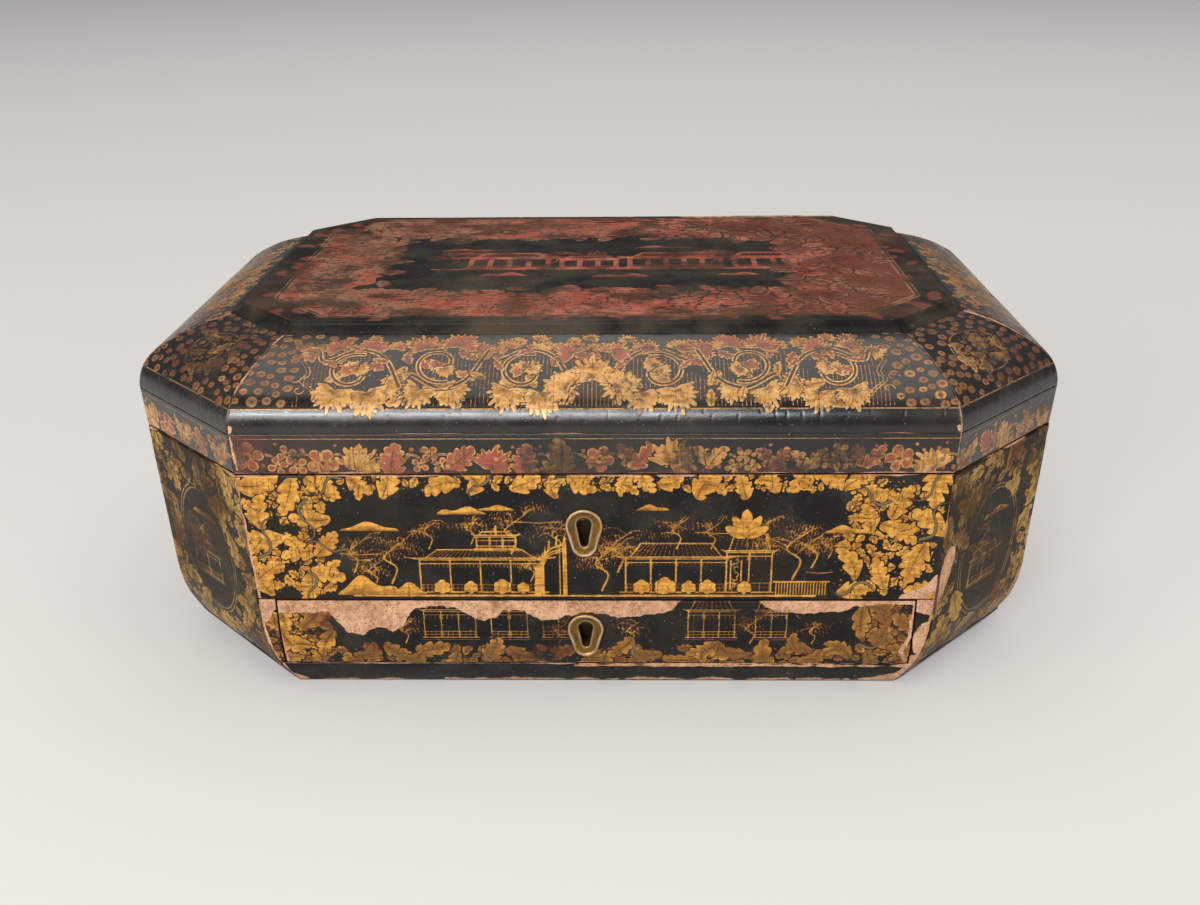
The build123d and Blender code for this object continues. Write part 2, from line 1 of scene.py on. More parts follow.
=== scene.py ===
# A worn lacquer work box: the painted boards, the brass and the small screws are dressed here
import json
from math import acos, cos, pi, radians, sin, sqrt, tau

import bpy
import numpy as np
from mathutils import Matrix, Vector

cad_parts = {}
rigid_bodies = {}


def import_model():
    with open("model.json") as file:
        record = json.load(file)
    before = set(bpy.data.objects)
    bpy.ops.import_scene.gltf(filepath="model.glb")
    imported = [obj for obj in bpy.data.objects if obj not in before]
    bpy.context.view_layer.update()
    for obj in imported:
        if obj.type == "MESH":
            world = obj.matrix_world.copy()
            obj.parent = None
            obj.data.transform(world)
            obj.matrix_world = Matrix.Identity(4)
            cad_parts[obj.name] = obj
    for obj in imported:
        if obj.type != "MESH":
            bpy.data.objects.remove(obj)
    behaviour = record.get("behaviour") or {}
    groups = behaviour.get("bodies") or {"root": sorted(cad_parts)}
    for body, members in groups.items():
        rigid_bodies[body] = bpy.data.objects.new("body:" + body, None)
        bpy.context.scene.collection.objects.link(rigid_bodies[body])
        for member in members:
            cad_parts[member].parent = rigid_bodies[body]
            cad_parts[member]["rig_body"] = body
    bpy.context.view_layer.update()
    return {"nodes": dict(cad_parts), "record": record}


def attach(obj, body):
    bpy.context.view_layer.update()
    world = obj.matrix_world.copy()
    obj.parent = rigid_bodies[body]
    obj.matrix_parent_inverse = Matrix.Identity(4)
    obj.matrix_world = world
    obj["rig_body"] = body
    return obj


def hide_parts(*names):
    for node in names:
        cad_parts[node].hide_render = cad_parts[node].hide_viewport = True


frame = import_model()
nodes = frame["nodes"]
mm = 0.001

# The outline that the solids have, in millimetres
form = {
    "halfWidth": 182.0, "halfDepth": 128.0, "cornerReach": 260.0 / sqrt(2), "middleY": -1.2,
    "frontHalf": 132.0, "endHalf": 78.0, "cornerHalf": 35.355, "cornerMiddle": 38.184,
    "caseTop": 95.0, "kneeHeight": 32.0, "openingTop": 42.0, "footRail": 11.0, "lockShift": -3.5,
    "rimSetback": 0.8, "frontSetbacks": (2.0, 10.0), "sideSetbacks": (3.4, 16.0),
    "lidBase": 95.3, "arris": 111.5, "bandHeight": 16.2, "bandLean": 1.0,
    "edgeRadius": 18.0, "wideRadius": 76.0, "crown": 50.0, "shoulderRun": 36.0, "shoulderTravel": 51.4,
    "coveRun": 4.5, "coveHeight": 3.8,
}
sideNames = ["front", "front_right_corner", "right", "back_right_corner",
             "back", "back_left_corner", "left", "front_left_corner"]


# Shapes of the eight sides
def sideFrame(side):
    # outward direction, direction to the viewer's right, reach, middle and half length of one of eight sides
    turn = radians(45 * side - 90)
    out, along = heading(turn)
    if side % 2:
        middle = form["cornerMiddle"] * (1 if side in (1, 5) else -1)
        return out, along, form["cornerReach"], middle, form["cornerHalf"]
    if side % 4:
        return out, along, form["halfWidth"], 0.0, form["endHalf"]
    return out, along, form["halfDepth"], 0.0, form["frontHalf"]


def caseProfile(side, heights):
    # setback of the case at a height: a straight lean down to the knee, then an arc tangent to it
    knee, foot = form["sideSetbacks"] if side % 4 else form["frontSetbacks"]
    rim, bend = form["rimSetback"], form["kneeHeight"]
    lean, drop = knee - rim, form["caseTop"] - bend
    tangent = np.array([lean, drop]) / sqrt(lean**2 + drop**2)
    reach = np.array([foot - knee, bend])
    radius = reach @ reach / (2 * (reach[0] * tangent[1] - reach[1] * tangent[0]))
    below = np.maximum(bend - heights, 0)
    curved = knee + radius * tangent[1] - np.sqrt(radius**2 - (below + radius * tangent[0]) ** 2)
    straight = rim + lean * (form["caseTop"] - heights) / drop
    return np.where(heights > bend, straight, curved)


def shoulderProfile(count):
    # setback and height of the lid's shoulder: a tight arc from the arris, then a wide one to the cove
    edge, wide, crown = form["edgeRadius"], form["wideRadius"], form["crown"]
    turn, end = acos((crown - edge) / (wide - edge)), acos((crown - form["shoulderRun"]) / wide)
    rise, split = wide - (wide - edge) * sin(turn), edge * turn
    travel = np.linspace(0, split + wide * (end - turn), count)
    low, tight, slack = travel < split, travel / edge, turn + (travel - split) / wide
    inset = np.where(low, edge * (1 - np.cos(tight)), crown - wide * np.cos(slack))
    height = np.where(low, edge * np.sin(tight), rise - wide * (1 - np.sin(slack)))
    return inset, form["arris"] + height


def bandProfile(count):
    # setback and height of the lid's band, which leans in a little towards its foot
    heights = np.linspace(form["lidBase"], form["arris"], count)
    return form["bandLean"] * (1 - (heights - form["lidBase"]) / form["bandHeight"]), heights


def faceGrid(side, profile, pitch, seed, span=(None, None), beside=None):
    # one side as a grid, with its sheet: rows follow the profile, columns run between a given span or the lines
    # where its neighbours, set back by their own amounts, cut it: half length + own setback - sqrt(2) * theirs
    out, along, reach, middle, half = sideFrame(side)
    inset, height = profile
    before, after = beside or (inset, inset)
    low, high = middle - half - inset + sqrt(2) * before, middle + half + inset - sqrt(2) * after
    low, high = (line if end is None else np.full_like(inset, end) for line, end in zip((low, high), span))
    share = np.linspace(0, 1, int((high - low).max() / pitch) + 1)
    across = low[:, None] * (1 - share) + high[:, None] * share
    away, level = (np.broadcast_to(values[:, None], across.shape) for values in (reach - inset, height))
    points = np.stack([out[0] * away + along[0] * across, out[1] * away + along[1] * across + form["middleY"],
                       level], axis=-1)
    travel = np.concatenate([[0], np.cumsum(np.hypot(np.diff(inset), np.diff(height)))])
    return points, Sheet(across - middle, np.broadcast_to(travel[:, None], across.shape), seed)


def heading(turn):
    # the direction at an angle, and the one to its left
    return np.array([cos(turn), sin(turn)]), np.array([-sin(turn), cos(turn)])


def unit(vectors):
    return vectors / np.maximum(np.linalg.norm(vectors, axis=-1, keepdims=True), 1e-9)


def gridNormals(points):
    # outward normals: the direction along the rows crossed with the direction up them
    return unit(np.cross(np.gradient(points, axis=1), np.gradient(points, axis=0)))


def grain(u, v, size, seed, octaves=3):
    # soft random field from 0 to 1: random values on a lattice, eased between its points, in halving sizes
    total, weight = np.zeros_like(u), 0.0
    for octave in range(octaves):
        step = size / 2**octave
        x, y = (u - u.min()) / step, (v - v.min()) / step
        lattice = np.random.default_rng(seed + 31 * octave).random((int(y.max()) + 2, int(x.max()) + 2))
        col, row = x.astype(int), y.astype(int)
        fx, fy = x - col, y - row
        fx, fy = fx * fx * (3 - 2 * fx), fy * fy * (3 - 2 * fy)
        low = lattice[row, col] * (1 - fx) + lattice[row, col + 1] * fx
        high = lattice[row + 1, col] * (1 - fx) + lattice[row + 1, col + 1] * fx
        total += (low * (1 - fy) + high * fy) / 2**octave
        weight += 1 / 2**octave
    return total / weight


# Painting on a flat sheet
class Sheet:
    # A side's flat drawing in millimetres, u to the right and v up. Each layer holds a cover of 0 to 1
    # that passes 0.5 at the edge of a shape, so the material can sharpen it between the grid's points.
    def __init__(self, u, v, seed):
        self.u, self.v = u, v
        self.soft = 2.1 * max(abs(v[1, 0] - v[0, 0]), abs(u[0, 1] - u[0, 0]))
        self.layers = {name: np.zeros(u.shape) for name in
                       ("motif", "gold", "stem", "vein", "bare", "crack", "rub", "tone")}
        self.rng = np.random.default_rng(seed)
        self.uniform = self.rng.uniform
        self.rough = grain(u, v, 3.2, seed + 5) - 0.5
        # how far each point is from the left, right, bottom and top edge
        self.gaps = [u - u[:, :1], u[:, -1:] - u, v - v[0, 0], v[-1, 0] - v]

    def near(self, points, pad=0):
        # the part of the grid that holds some points and a margin about them, or None outside the sheet
        points = np.reshape(points, (-1, 2))
        low, high = points.min(0) - pad, points.max(0) + pad
        rows = np.searchsorted(self.v[:, 0], (low[1], high[1]))
        if rows[0] >= rows[1]:
            return None
        ends = [np.searchsorted(self.u[row], (low[0], high[0])) for row in (rows[0], rows[1] - 1)]
        first, last = min(ends[0][0], ends[1][0]), max(ends[0][1], ends[1][1])
        return (slice(*rows), slice(first, last)) if first < last else None

    def lay(self, place, distance, layer="motif", gold=None, gap=0.0, shade=None, rub=None):
        # cover where the signed distance is below nought, with its share of gold, shade and rubbing; a gap
        # clears what lies under it that far outside its edge, and with no layer that is all it does
        def within(reach):
            return np.clip(0.5 - (distance - reach) / self.soft, 0, 1)

        cover = within(0)
        share = np.clip(cover * 2.2 - 0.3, 0, 1)
        layers = self.layers
        if gap:
            for other in ("motif", "vein", "stem"):
                layers[other][place] *= 1 - np.clip(within(gap) * 2 - 0.5, 0, 1)
        if layer == "motif":
            for name, value in (("gold", gold), ("tone", shade), ("rub", rub)):
                if value is not None:
                    kept = layers[name][place]
                    layers[name][place] = kept + (value - kept) * share
            for other in ("vein", "stem"):
                layers[other][place] *= 1 - share
        if layer:
            layers[layer][place] = np.maximum(layers[layer][place], cover)

    def toLine(self, place, points):
        # distance to each piece of a polyline, and the share of the piece where it is nearest
        u, v = self.u[place][None], self.v[place][None]
        start, run = points[:-1, :, None, None], np.diff(points, axis=0)[:, :, None, None]
        share = ((u - start[:, 0]) * run[:, 0] + (v - start[:, 1]) * run[:, 1])
        share = np.clip(share / np.maximum(run[:, 0] ** 2 + run[:, 1] ** 2, 1e-9), 0, 1)
        return np.hypot(u - start[:, 0] - share * run[:, 0], v - start[:, 1] - share * run[:, 1]), share

    def stroke(self, points, width, layer="motif", gold=1.0, taper=None, ragged=0.0, gap=0.0, shade=0.0,
               rub=None):
        # a brush line: distance to the nearest piece of a polyline, less half the width there
        points = np.asarray(points, float)
        place = self.near(points, width + self.soft + ragged + gap)
        if place is None:
            return
        away, share = self.toLine(place, points)
        order = (np.arange(len(points) - 1)[:, None, None] + share) / (len(points) - 1)
        thin = 1 - (1 - taper) * order if taper is not None else 1.0
        distance = (away - width / 2 * thin).min(0) + ragged * self.rough[place] * 2
        self.lay(place, distance, layer, gold, gap, shade, rub)

    def disc(self, centre, radius, layer="motif", gold=1.0, squash=1.0, ragged=0.0, ring=None, shade=None,
             gap=0.0):
        # a round spot, or a ring of a given width, squashed in height
        place = self.near(centre, radius + self.soft + ragged + gap)
        if place is None:
            return
        away = np.hypot(self.u[place] - centre[0], (self.v[place] - centre[1]) / squash) - radius
        if ring:
            away = np.abs(away) - ring / 2
        self.lay(place, away + ragged * self.rough[place] * 2, layer, gold, gap, shade)

    def fill(self, place, distance, gold, gap, tone, rim):
        # a motif of its own shade, with a gold line inside its edge if it has a rim
        self.lay(place, distance, "motif", gold, gap, np.clip(tone, 0, 1))
        if rim is not None:
            self.lay(place, np.abs(distance + rim) - rim / 2, "motif", 1.0, shade=0.0)

    def turned(self, centre, size, turn):
        # the part of the grid round a motif, in its own measure: s along it and t across it, one unit its size
        place = self.near(centre, size * 1.3 + self.soft)
        if place is None:
            return None, 0, 0
        u, v = self.u[place] - centre[0], self.v[place] - centre[1]
        return place, (u * cos(turn) + v * sin(turn)) / size, (v * cos(turn) - u * sin(turn)) / size

    def lobes(self, centre, size, turn, fan, gold=1.0, rim=None, veins=0.3, point=0.0, shade=0.0, gap=0.0):
        # a leaf or flower: the union of round or pointed lobes spread like a fan, each (angle, reach, girth)
        place, along, across = self.turned(centre, size, turn)
        if place is None:
            return
        distance = np.full(along.shape, 99.0)
        for angle, reach, girth in fan:
            lean = radians(angle)
            s, t = along * cos(lean) + across * sin(lean), across * cos(lean) - along * sin(lean)
            if point:  # a blade: widest at a third of its reach and sharp at its tip
                way = np.clip(s / reach, 0, 1)
                blade = np.abs(t) - girth * np.sqrt(way) * (1 - way) ** point * 1.9
                blade = blade + np.maximum(s - reach, 0) + np.maximum(-s, 0)
            else:
                way = np.clip(s / max(reach - girth, 1e-3), 0, 1)
                blade = np.minimum(np.hypot(s - (reach - girth), t) - girth,
                                   np.hypot(s - way * (reach - girth), t) - girth * (0.35 + 0.6 * way))
            distance = np.minimum(distance, blade * size)
        distance = distance + self.rough[place] * size * 0.16
        tone = shade + 0.9 * (0.45 - np.hypot(along, across)) + self.rough[place] * 0.8
        self.fill(place, distance, gold, gap, tone, rim)
        for angle, reach, girth in fan if veins else ():
            tip = np.array(centre) + size * reach * 0.8 * heading(turn + radians(angle))[0]
            self.stroke([centre, tip], veins, "vein", taper=0.3)

    def leaf(self, centre, size, turn, gold=1.0, wide=0.8, bays=4, rim=None, shade=0.0, gap=0.6):
        # a lobed leaf: half its width is wide * sin(way) ** 0.5, cut in between lobes that slant forward, on a
        # bent rib
        place, s, t = self.turned(centre, size, turn)
        if place is None:
            return
        bend, shift = self.uniform(-0.35, 0.35), self.uniform(-0.15, 0.15)
        t = t - bend * (s * s - 0.4)
        way = np.clip((s + 1) / 2, 0, 1)
        slant = np.clip(way - 0.26 * np.abs(t) / wide, 0, 1) + shift * np.sign(t) * 0.5
        half = wide * np.sin(pi * way**0.8) ** 0.5 * (0.48 + 0.52 * np.abs(np.sin(bays * pi * slant)) ** 0.75)
        distance = (np.abs(t) - half) * 0.75 + np.maximum(np.abs(s) - 1, 0)
        distance = distance * size + self.rough[place] * size * 0.1
        tone = shade + 0.45 * (0.3 - way) + 0.5 * (0.35 - np.abs(t) / wide) + self.rough[place] * 0.9
        self.fill(place, distance, gold, gap, tone, rim)
        rib, side = heading(turn)
        steps = np.linspace(-0.9, 0.75, 7)[:, None]
        spine = np.array(centre) + size * (steps * rib + bend * (steps**2 - 0.4) * side)
        self.stroke(spine, 0.36, "vein", taper=0.4)
        for start in spine[1:6]:
            for way in (1, -1):
                end = start + size * wide * (0.28 * rib + way * 0.55 * side)
                self.stroke([start, end], 0.22, "vein", taper=0.2)


def curve(points, count=24):
    # a smooth line through points: the cubic whose slope at each point is half the step between its neighbours
    points = np.asarray(points, float)
    padded = np.concatenate([points[:1] * 2 - points[1:2], points, points[-1:] * 2 - points[-2:-1]])
    at = np.linspace(0, len(points) - 1 - 1e-9, count)
    k = at.astype(int)
    t = (at - k)[:, None]
    a, b, c, d = padded[k], padded[k + 1], padded[k + 2], padded[k + 3]
    return 0.5 * (2 * b + (c - a) * t + (2 * a - 5 * b + 4 * c - d) * t**2 + (3 * b - a - 3 * c + d) * t**3)


def spiral(centre, start, end, turnFrom, turnTo, count=26):
    # a scroll: the radius shrinks evenly while the angle turns
    share = np.linspace(0, 1, count)
    radius, angle = start + (end - start) * share, turnFrom + (turnTo - turnFrom) * share
    return np.stack([centre[0] + radius * np.cos(angle), centre[1] + radius * np.sin(angle)], axis=-1)


# Lobes of the common leaf and of the acanthus spray: angle, reach and girth of each
vineFan = [(0, 1.0, 0.34), (44, 0.86, 0.3), (-44, 0.86, 0.3), (92, 0.72, 0.27), (-92, 0.72, 0.27),
           (150, 0.4, 0.24), (-150, 0.4, 0.24)]
plumeFan = [(angle, 1.0 - 0.0026 * abs(angle) - 0.12 * (k % 2), 0.115)
            for k, angle in enumerate(range(-102, 103, 17))]


def scatter(rng, box, radius, tries, allowed=None, pack=0.84):
    # random spots in a box, kept only where they stay clear of the earlier ones: rows of (u, v, radius)
    kept = np.zeros((0, 3))
    for _ in range(tries):
        spot = np.array([rng.uniform(box[0], box[1]), rng.uniform(box[2], box[3]), rng.uniform(*radius)])
        gap = np.hypot(kept[:, 0] - spot[0], kept[:, 1] - spot[1]) - (kept[:, 2] + spot[2]) * pack
        if (gap > 0).all() and (allowed is None or allowed(spot)):
            kept = np.vstack([kept, spot])
    return kept


def vine(sheet, box, radius, tries, gold=1.0, allowed=None, stems=0.35, shade=0.0, rim=None, pack=1.08):
    # lobed leaves in clumps with dark gaps full of fine dots, and winding grey stems over them
    rng, uniform = sheet.rng, sheet.uniform

    def tone(u, v):
        return (gold(u, v) if callable(gold) else gold) + uniform(-0.12, 0.04)
    spots = scatter(rng, box, radius, tries, allowed, pack)
    for u, v, size in scatter(rng, box, (0.4, 0.7), 260, allowed):
        sheet.disc((u, v), size * 0.5, gold=0.9, shade=shade + 0.3)
    for u, v, size in scatter(rng, box, (radius[0] * 0.3, radius[0] * 0.5), tries // 4, allowed):
        sheet.leaf((u, v), size * 1.5, uniform(0, tau), tone(u, v), 0.75, 3, shade=shade + 0.2)
    for u, v, size in spots:
        turn, dark = uniform(0, tau), shade + uniform(0, 0.25)
        sheet.leaf((u, v), size * uniform(1.3, 1.7), turn, tone(u, v), uniform(0.48, 0.66), rng.integers(3, 5),
                   rim, dark)
        if rng.random() < 0.5:  # a second blade from the same stem
            side = turn + rng.choice((-1, 1)) * uniform(0.9, 1.5)
            at = (u + cos(side) * size * 0.8, v + sin(side) * size * 0.8)
            sheet.leaf(at, size * uniform(0.8, 1.0), side, tone(u, v), 0.6, 3, rim, dark, gap=0.35)
    steps = np.array([(1.5, 0.2), (0.8, 0.75), (0.0, 0.45), (-0.6, -0.2), (-1.3, -0.3), (-1.9, 0.25)])
    for u, v, size in spots:
        if rng.random() < stems:
            turn, bend = uniform(0, tau), rng.choice((-1, 1)) * size
            ahead, aside = heading(turn)
            path = curve([u, v] + steps[:, :1] * ahead * size + steps[:, 1:] * aside * bend, 22)
            sheet.stroke(path, 1.1, "stem", taper=0.15, gap=0.25)


def eyeSpots(sheet, box, radius, tries, allowed=None, gold=0.4):
    # round seed spots, each a dull salmon disc with a paler ring and a dark eye
    for u, v, size in scatter(sheet.rng, box, radius, tries, allowed, 1.12):
        squash, tone, dark = sheet.uniform(0.7, 0.95), gold + sheet.uniform(-0.2, 0.2), sheet.uniform(0.3, 0.9)
        sheet.disc((u, v), size, gold=tone, squash=squash, ragged=0.3, shade=dark, gap=0.3)
        sheet.disc((u, v), size * 0.84, gold=0.8, squash=squash, ragged=0.3, ring=0.2, shade=dark)
        sheet.disc((u, v), size * 0.34, "vein", squash=squash, ragged=0.2)


def hatch(sheet, low, high, pitch, width, gold=0.9):
    # fine upright lines over a box, broken here and there and fading towards its top
    place = sheet.near([low, high])
    if place is None:
        return
    u, v = sheet.u[place], sheet.v[place]
    wobble = 0.25 * (grain(u, v, 9.0, 77) - 0.5)
    away = np.abs((u + wobble) / pitch - np.round((u + wobble) / pitch)) * pitch - width / 2
    faded = np.where(grain(u, v, 5.0, 78) > 0.66, 0.25, 0.0) + 0.5 * np.clip((v - high[1] + 7) / 7, 0, 1)
    sheet.lay(place, away + faded, "motif", gold, shade=0.3)


def pavilion(sheet, left, base, width, height, bays, gold=0.95, upper=False, line=0.34):
    # an open garden pavilion: posts, double beam, lattice, sloping roof with tile lines, and an upper storey
    roof = base + height * (0.56 if upper else 0.66)
    right, over = left + width, width * 0.06

    def draw(points, thick=line, shade=0.0):
        sheet.stroke(points, thick, gold=gold, shade=shade)
    for at in np.linspace(left, right, bays + 1):
        draw([(at, base), (at, roof)], line * 1.5)
    for up in (0, -1.5):
        draw([(left, roof + up), (right, roof + up)])
    draw([(left - over, base), (right + over, base)], line * 1.3)
    draw([(left - over, base - 1.0), (right + over, base - 1.0)], line * 0.7, 0.3)
    top = base + height * (0.74 if upper else 0.96)
    slopes = [curve([(end - way * over * 2, roof + 1.3), (end + way * width * 0.03, roof + 0.6),
                     (end + way * width * 0.15, top)], 9) for end, way in ((left, 1), (right, -1))]
    ridge, fascia = [slope[-1] for slope in slopes], [(left - over, roof + 0.8), (right + over, roof + 0.8)]
    for edge in (*slopes, ridge, fascia):
        draw(edge, line * 1.2)
    for share in np.linspace(0.04, 0.96, int(width / 1.9)):
        draw([(left + width * share, roof + 0.9), (left + width * (0.15 + 0.7 * share), top)], 0.1, 0.5)
    bay, rise = width / bays, roof - base
    for middle in np.linspace(left + bay / 2, right - bay / 2, bays):
        # a fringe of lattice and a railing
        for step in np.linspace(-bay * 0.42, bay * 0.42, max(int(bay / 1.5), 3)):
            draw([(middle + step, roof - 1.5), (middle + step, roof - 3.2)], 0.1, 0.5)
            draw([(middle + step, base), (middle + step, base + rise * 0.24)], 0.1, 0.5)
    for up, dark in ((0.24, 0.2), (0.13, 0.5)):
        draw([(left, base + rise * up), (right, base + rise * up)], 0.2, dark)
    if upper:
        middle, wide = left + width * 0.64, width * 0.32
        pavilion(sheet, middle - wide / 2, top + 0.4, wide, height * 0.3, 3, gold)
        draw([(middle, base + height * 1.0), (middle, base + height * 1.14)], 0.7)


def gate(sheet, left, base, width, height):
    # an arched garden gate: a broad pier, a leaning wall of two bands and a row of spikes on it
    right = left + width
    sheet.stroke([(left - 1.2, base + 0.6), (left - 1.2, base + height * 0.5)], 2.6, ragged=0.4, shade=0.15)
    for at, rise, thick in ((left + 0.8, 0.66, 0.7), (right, 0.97, 1.5), (right - 1.9, 0.88, 0.4)):
        sheet.stroke([(at, base), (at, base + height * rise)], thick)
    arch = curve([(left + 0.4, base + height * 0.6), (left + width * 0.35, base + height * 0.84),
                  (right, base + height * 0.95)], 9)
    for drop, thick in ((0, 0.7), (1.6, 0.4), (2.6, 0.3)):
        sheet.stroke(arch - [0, drop], thick)
    for at in arch[::2]:
        sheet.stroke([at, at + [0.2, 4.4]], 1.1, taper=0.1)


def willow(sheet, u, v, size, gold=1.0):
    # a bent trunk and rounded crowns, each an arch from which fine strands hang
    uniform = sheet.uniform
    trunk = curve([(u, v), (u + size * 0.1, v + size * 0.3), (u - size * 0.1, v + size * 0.5),
                   (u + size * 0.25, v + size * 0.8)], 14)
    sheet.stroke(trunk, size * 0.03, gold=gold, taper=0.35, shade=0.2)
    for _ in range(int(6 + size * 0.24)):
        root = trunk[sheet.rng.integers(6, 14)]
        wide, rise = size * uniform(0.14, 0.24), size * uniform(0.04, 0.1)
        middle = root + [uniform(-0.42, 0.42) * size, uniform(-0.1, 0.22) * size]
        twig = curve([root, (root + middle) / 2 + [0, rise], middle], 6)
        sheet.stroke(twig, 0.2, gold=gold, taper=0.5, shade=0.35)
        for lay in range(2):
            for across in np.linspace(-1, 1, max(int(wide * 1.9), 3)) + lay * 0.12:
                top = middle + [across * wide, rise * (1 - across * across) - lay * size * 0.09]
                fall = np.array([across * 0.6 + uniform(-0.3, 0.3), -size * uniform(0.06, 0.14)])
                sheet.stroke([top, top + fall], 0.16, gold=gold, taper=-1.5, shade=0.25 + uniform(-0.25, 0.3))


def isle(sheet, u, v, wide, high, gold=0.95, shade=0.0):
    # a low hill of land: level below, and above it the crown (1 - x^2)^0.7 with a few swells
    place = sheet.near([(u - wide - 1, v - 2), (u + wide + 1, v + high * 1.4 + 1)])
    if place is None:
        return
    x, lift = (sheet.u[place] - u) / wide, sheet.v[place] - v
    phase = sheet.uniform(0, 6)
    crown = high * np.clip(1 - x * x, 0, 1) ** 0.7 * (0.75 + 0.3 * np.cos(4.6 * x + phase))
    distance = np.maximum(-lift - 0.3, lift - crown) + np.maximum(np.abs(x) - 1, 0) * wide
    tone = np.clip(shade + 0.9 * (1 - lift / np.maximum(crown, 0.5)) - 0.35 + sheet.rough[place], 0, 1)
    sheet.lay(place, distance + sheet.rough[place] * 0.5, "motif", gold, 0.3, tone)


def plume(sheet, centre, size, turn, gold, shade=0.1):
    # a spiky acanthus spray with a gold outline and dark ribs
    sheet.lobes(centre, size, turn, plumeFan, gold=gold, rim=0.2, veins=0.16, point=0.5, shade=shade, gap=0.45)


def ribbon(sheet, path, width, gold=0.9):
    # two thin gold lines side by side, dark between
    sheet.stroke(path, width, gold=gold, gap=0.3, shade=0.1)
    sheet.stroke(path, width - 1.2, None, gap=0.01)


def rinceau(sheet, middle, reach, wave, height, gold):
    # a running scroll: an S-shaped ribbon, a spiral in each bend and sprays of acanthus about them
    sprays = [(0.08, -0.30, 0.34, 215), (0.34, 0.34, 0.30, 100), (0.70, 0.38, 0.30, 60),
              (0.30, -0.44, 0.34, 260), (0.68, -0.40, 0.34, 285), (0.5, -0.08, 0.22, 70),
              (0.98, 0.28, 0.24, 20)]
    steps = [(-2, -0.34), (wave * 0.16, 0.2), (wave * 0.48, 0.36), (wave * 0.84, 0.12), (wave - 2, 0.34)]
    for sign in (-1, 1):
        for bend in range(int(reach / wave)):
            start, up = 9 + bend * wave, 1 if bend % 2 == 0 else -1
            stem = curve([(start + along, middle + up * height * across) for along, across in steps], 26)
            eye = (start + wave * 0.5, middle - up * height * 0.08)
            curl = spiral(eye, height * 0.36, height * 0.12, up * 1.9, -up * 4.0, 30)
            for along, across, size, turn in sprays:
                at = (sign * (start + wave * along), middle + up * height * across)
                tilt = radians(turn) * up if sign > 0 else pi - radians(turn) * up
                size, tone = height * size * sheet.uniform(0.85, 1.15), gold(*at) + sheet.uniform(-0.2, 0.2)
                plume(sheet, at, size, tilt, tone, sheet.uniform(0, 0.3))
            ribbon(sheet, stem * [sign, 1], 2.2)
            ribbon(sheet, curl * [sign, 1], 2.0)
            end = curl[-1] * [sign, 1]
            plume(sheet, end, height * 0.2, sheet.uniform(0, tau), gold(*end) + 0.2, 0.1)
            for at in stem[[5, 12, 19]] * [sign, 1]:  # small leaves on the stem
                turn = sheet.uniform(0, tau)
                sheet.leaf(at + 2.6 * heading(turn)[0], 3.4, turn, gold(*at) + 0.1, 0.5, 3, rim=0.2, gap=0.3)


def blossom(sheet, centre, size, petals, gold, shade=0.1):
    # an open flower: round petals with gold rims about a gold eye
    fan = [(360 / petals * k, 1.0, 0.36) for k in range(petals)]
    sheet.lobes(centre, size, sheet.uniform(0, pi), fan, gold=gold, rim=0.3, veins=0.25, shade=shade, gap=0.4)
    sheet.disc(centre, size * 0.3, gold=0.9, ragged=0.2, shade=0.0)
    sheet.disc(centre, size * 0.14, "vein")


def flakes(u, v, rag, sizes, fine, seed):
    # how far the edge of flaked lacquer strays: a coarse and a finer random field
    return (grain(u, v, sizes[0], seed) - 0.5) * 2 * rag + (grain(u, v, sizes[1], seed + 1) - 0.5) * rag * fine


def bareAlong(sheet, *tears):
    # lacquer flaked off along lines, each with its points, width, raggedness and seed
    for points, width, rag, seed in tears:
        points = np.array(points, float)
        place = sheet.near(points, width + rag * 2)
        if place:
            broken = flakes(sheet.u[place], sheet.v[place], rag, (7.0, 1.8), 0.7, seed)
            sheet.lay(place, sheet.toLine(place, points)[0].min(0) - width / 2 + broken, "bare")


def bareAbove(sheet, points, rag, seed=61):
    # flaked off above a broken line that runs across the sheet
    line = np.interp(sheet.u, *np.transpose(points))
    sheet.lay(..., line - sheet.v + flakes(sheet.u, sheet.v, rag, (6.0, 1.4), 1.0, seed), "bare")


def wearEdges(sheet, amounts, seed):
    # chips along worn edges: bare where the distance to an edge is under a random width of its own
    u, v = sheet.u, sheet.v
    for k, amount in enumerate(amounts):
        if amount:
            patchy = np.clip(grain(u, v, 22.0, seed + k) * 3.0 - 1.45, 0, 1.5)
            width = amount * (patchy + 0.5 * (grain(u, v, 2.4, seed + 9 + k) - 0.55))
            sheet.lay(..., sheet.gaps[k] - width, "bare")


def cracks(sheet, lines, width=0.34, layer="crack"):
    for line in lines:
        sheet.stroke(curve(line, 18), width, layer, ragged=0.12)


def uprightCracks(sheet, box, every, reach, seed, width=0.3):
    # short cracks across the grain at uneven steps
    rng = np.random.default_rng(seed)
    at = box[0] + rng.uniform(0, every)
    while at < box[1]:
        high = box[2] + (box[3] - box[2]) * rng.uniform(*reach)
        lean = rng.uniform(-1, 1)
        cracks(sheet, [[(at, box[2]), (at + lean, (box[2] + high) / 2), (at + lean * 0.5, high)]], width)
        at += every * rng.uniform(0.4, 1.7)


# Putting a painted sheet on its board
# Depths in a painted face, and how far its rim is drawn in and down, in millimetres
reliefForm = {"bare": 0.32, "crack": 0.1, "swell": 0.10, "ripple": 0.05, "paint": 0.05,
              "dip": 0.14, "depth": 1.0, "skinDrop": 0.5, "skinNear": 0.06}
# Where the map holds the painted faces: the main one, and the strips of further ones
mapForm = {"low": 0.01, "high": 0.99, "painted": 0.13, "main": 0.3, "strip": 0.02, "stripGap": 0.004}


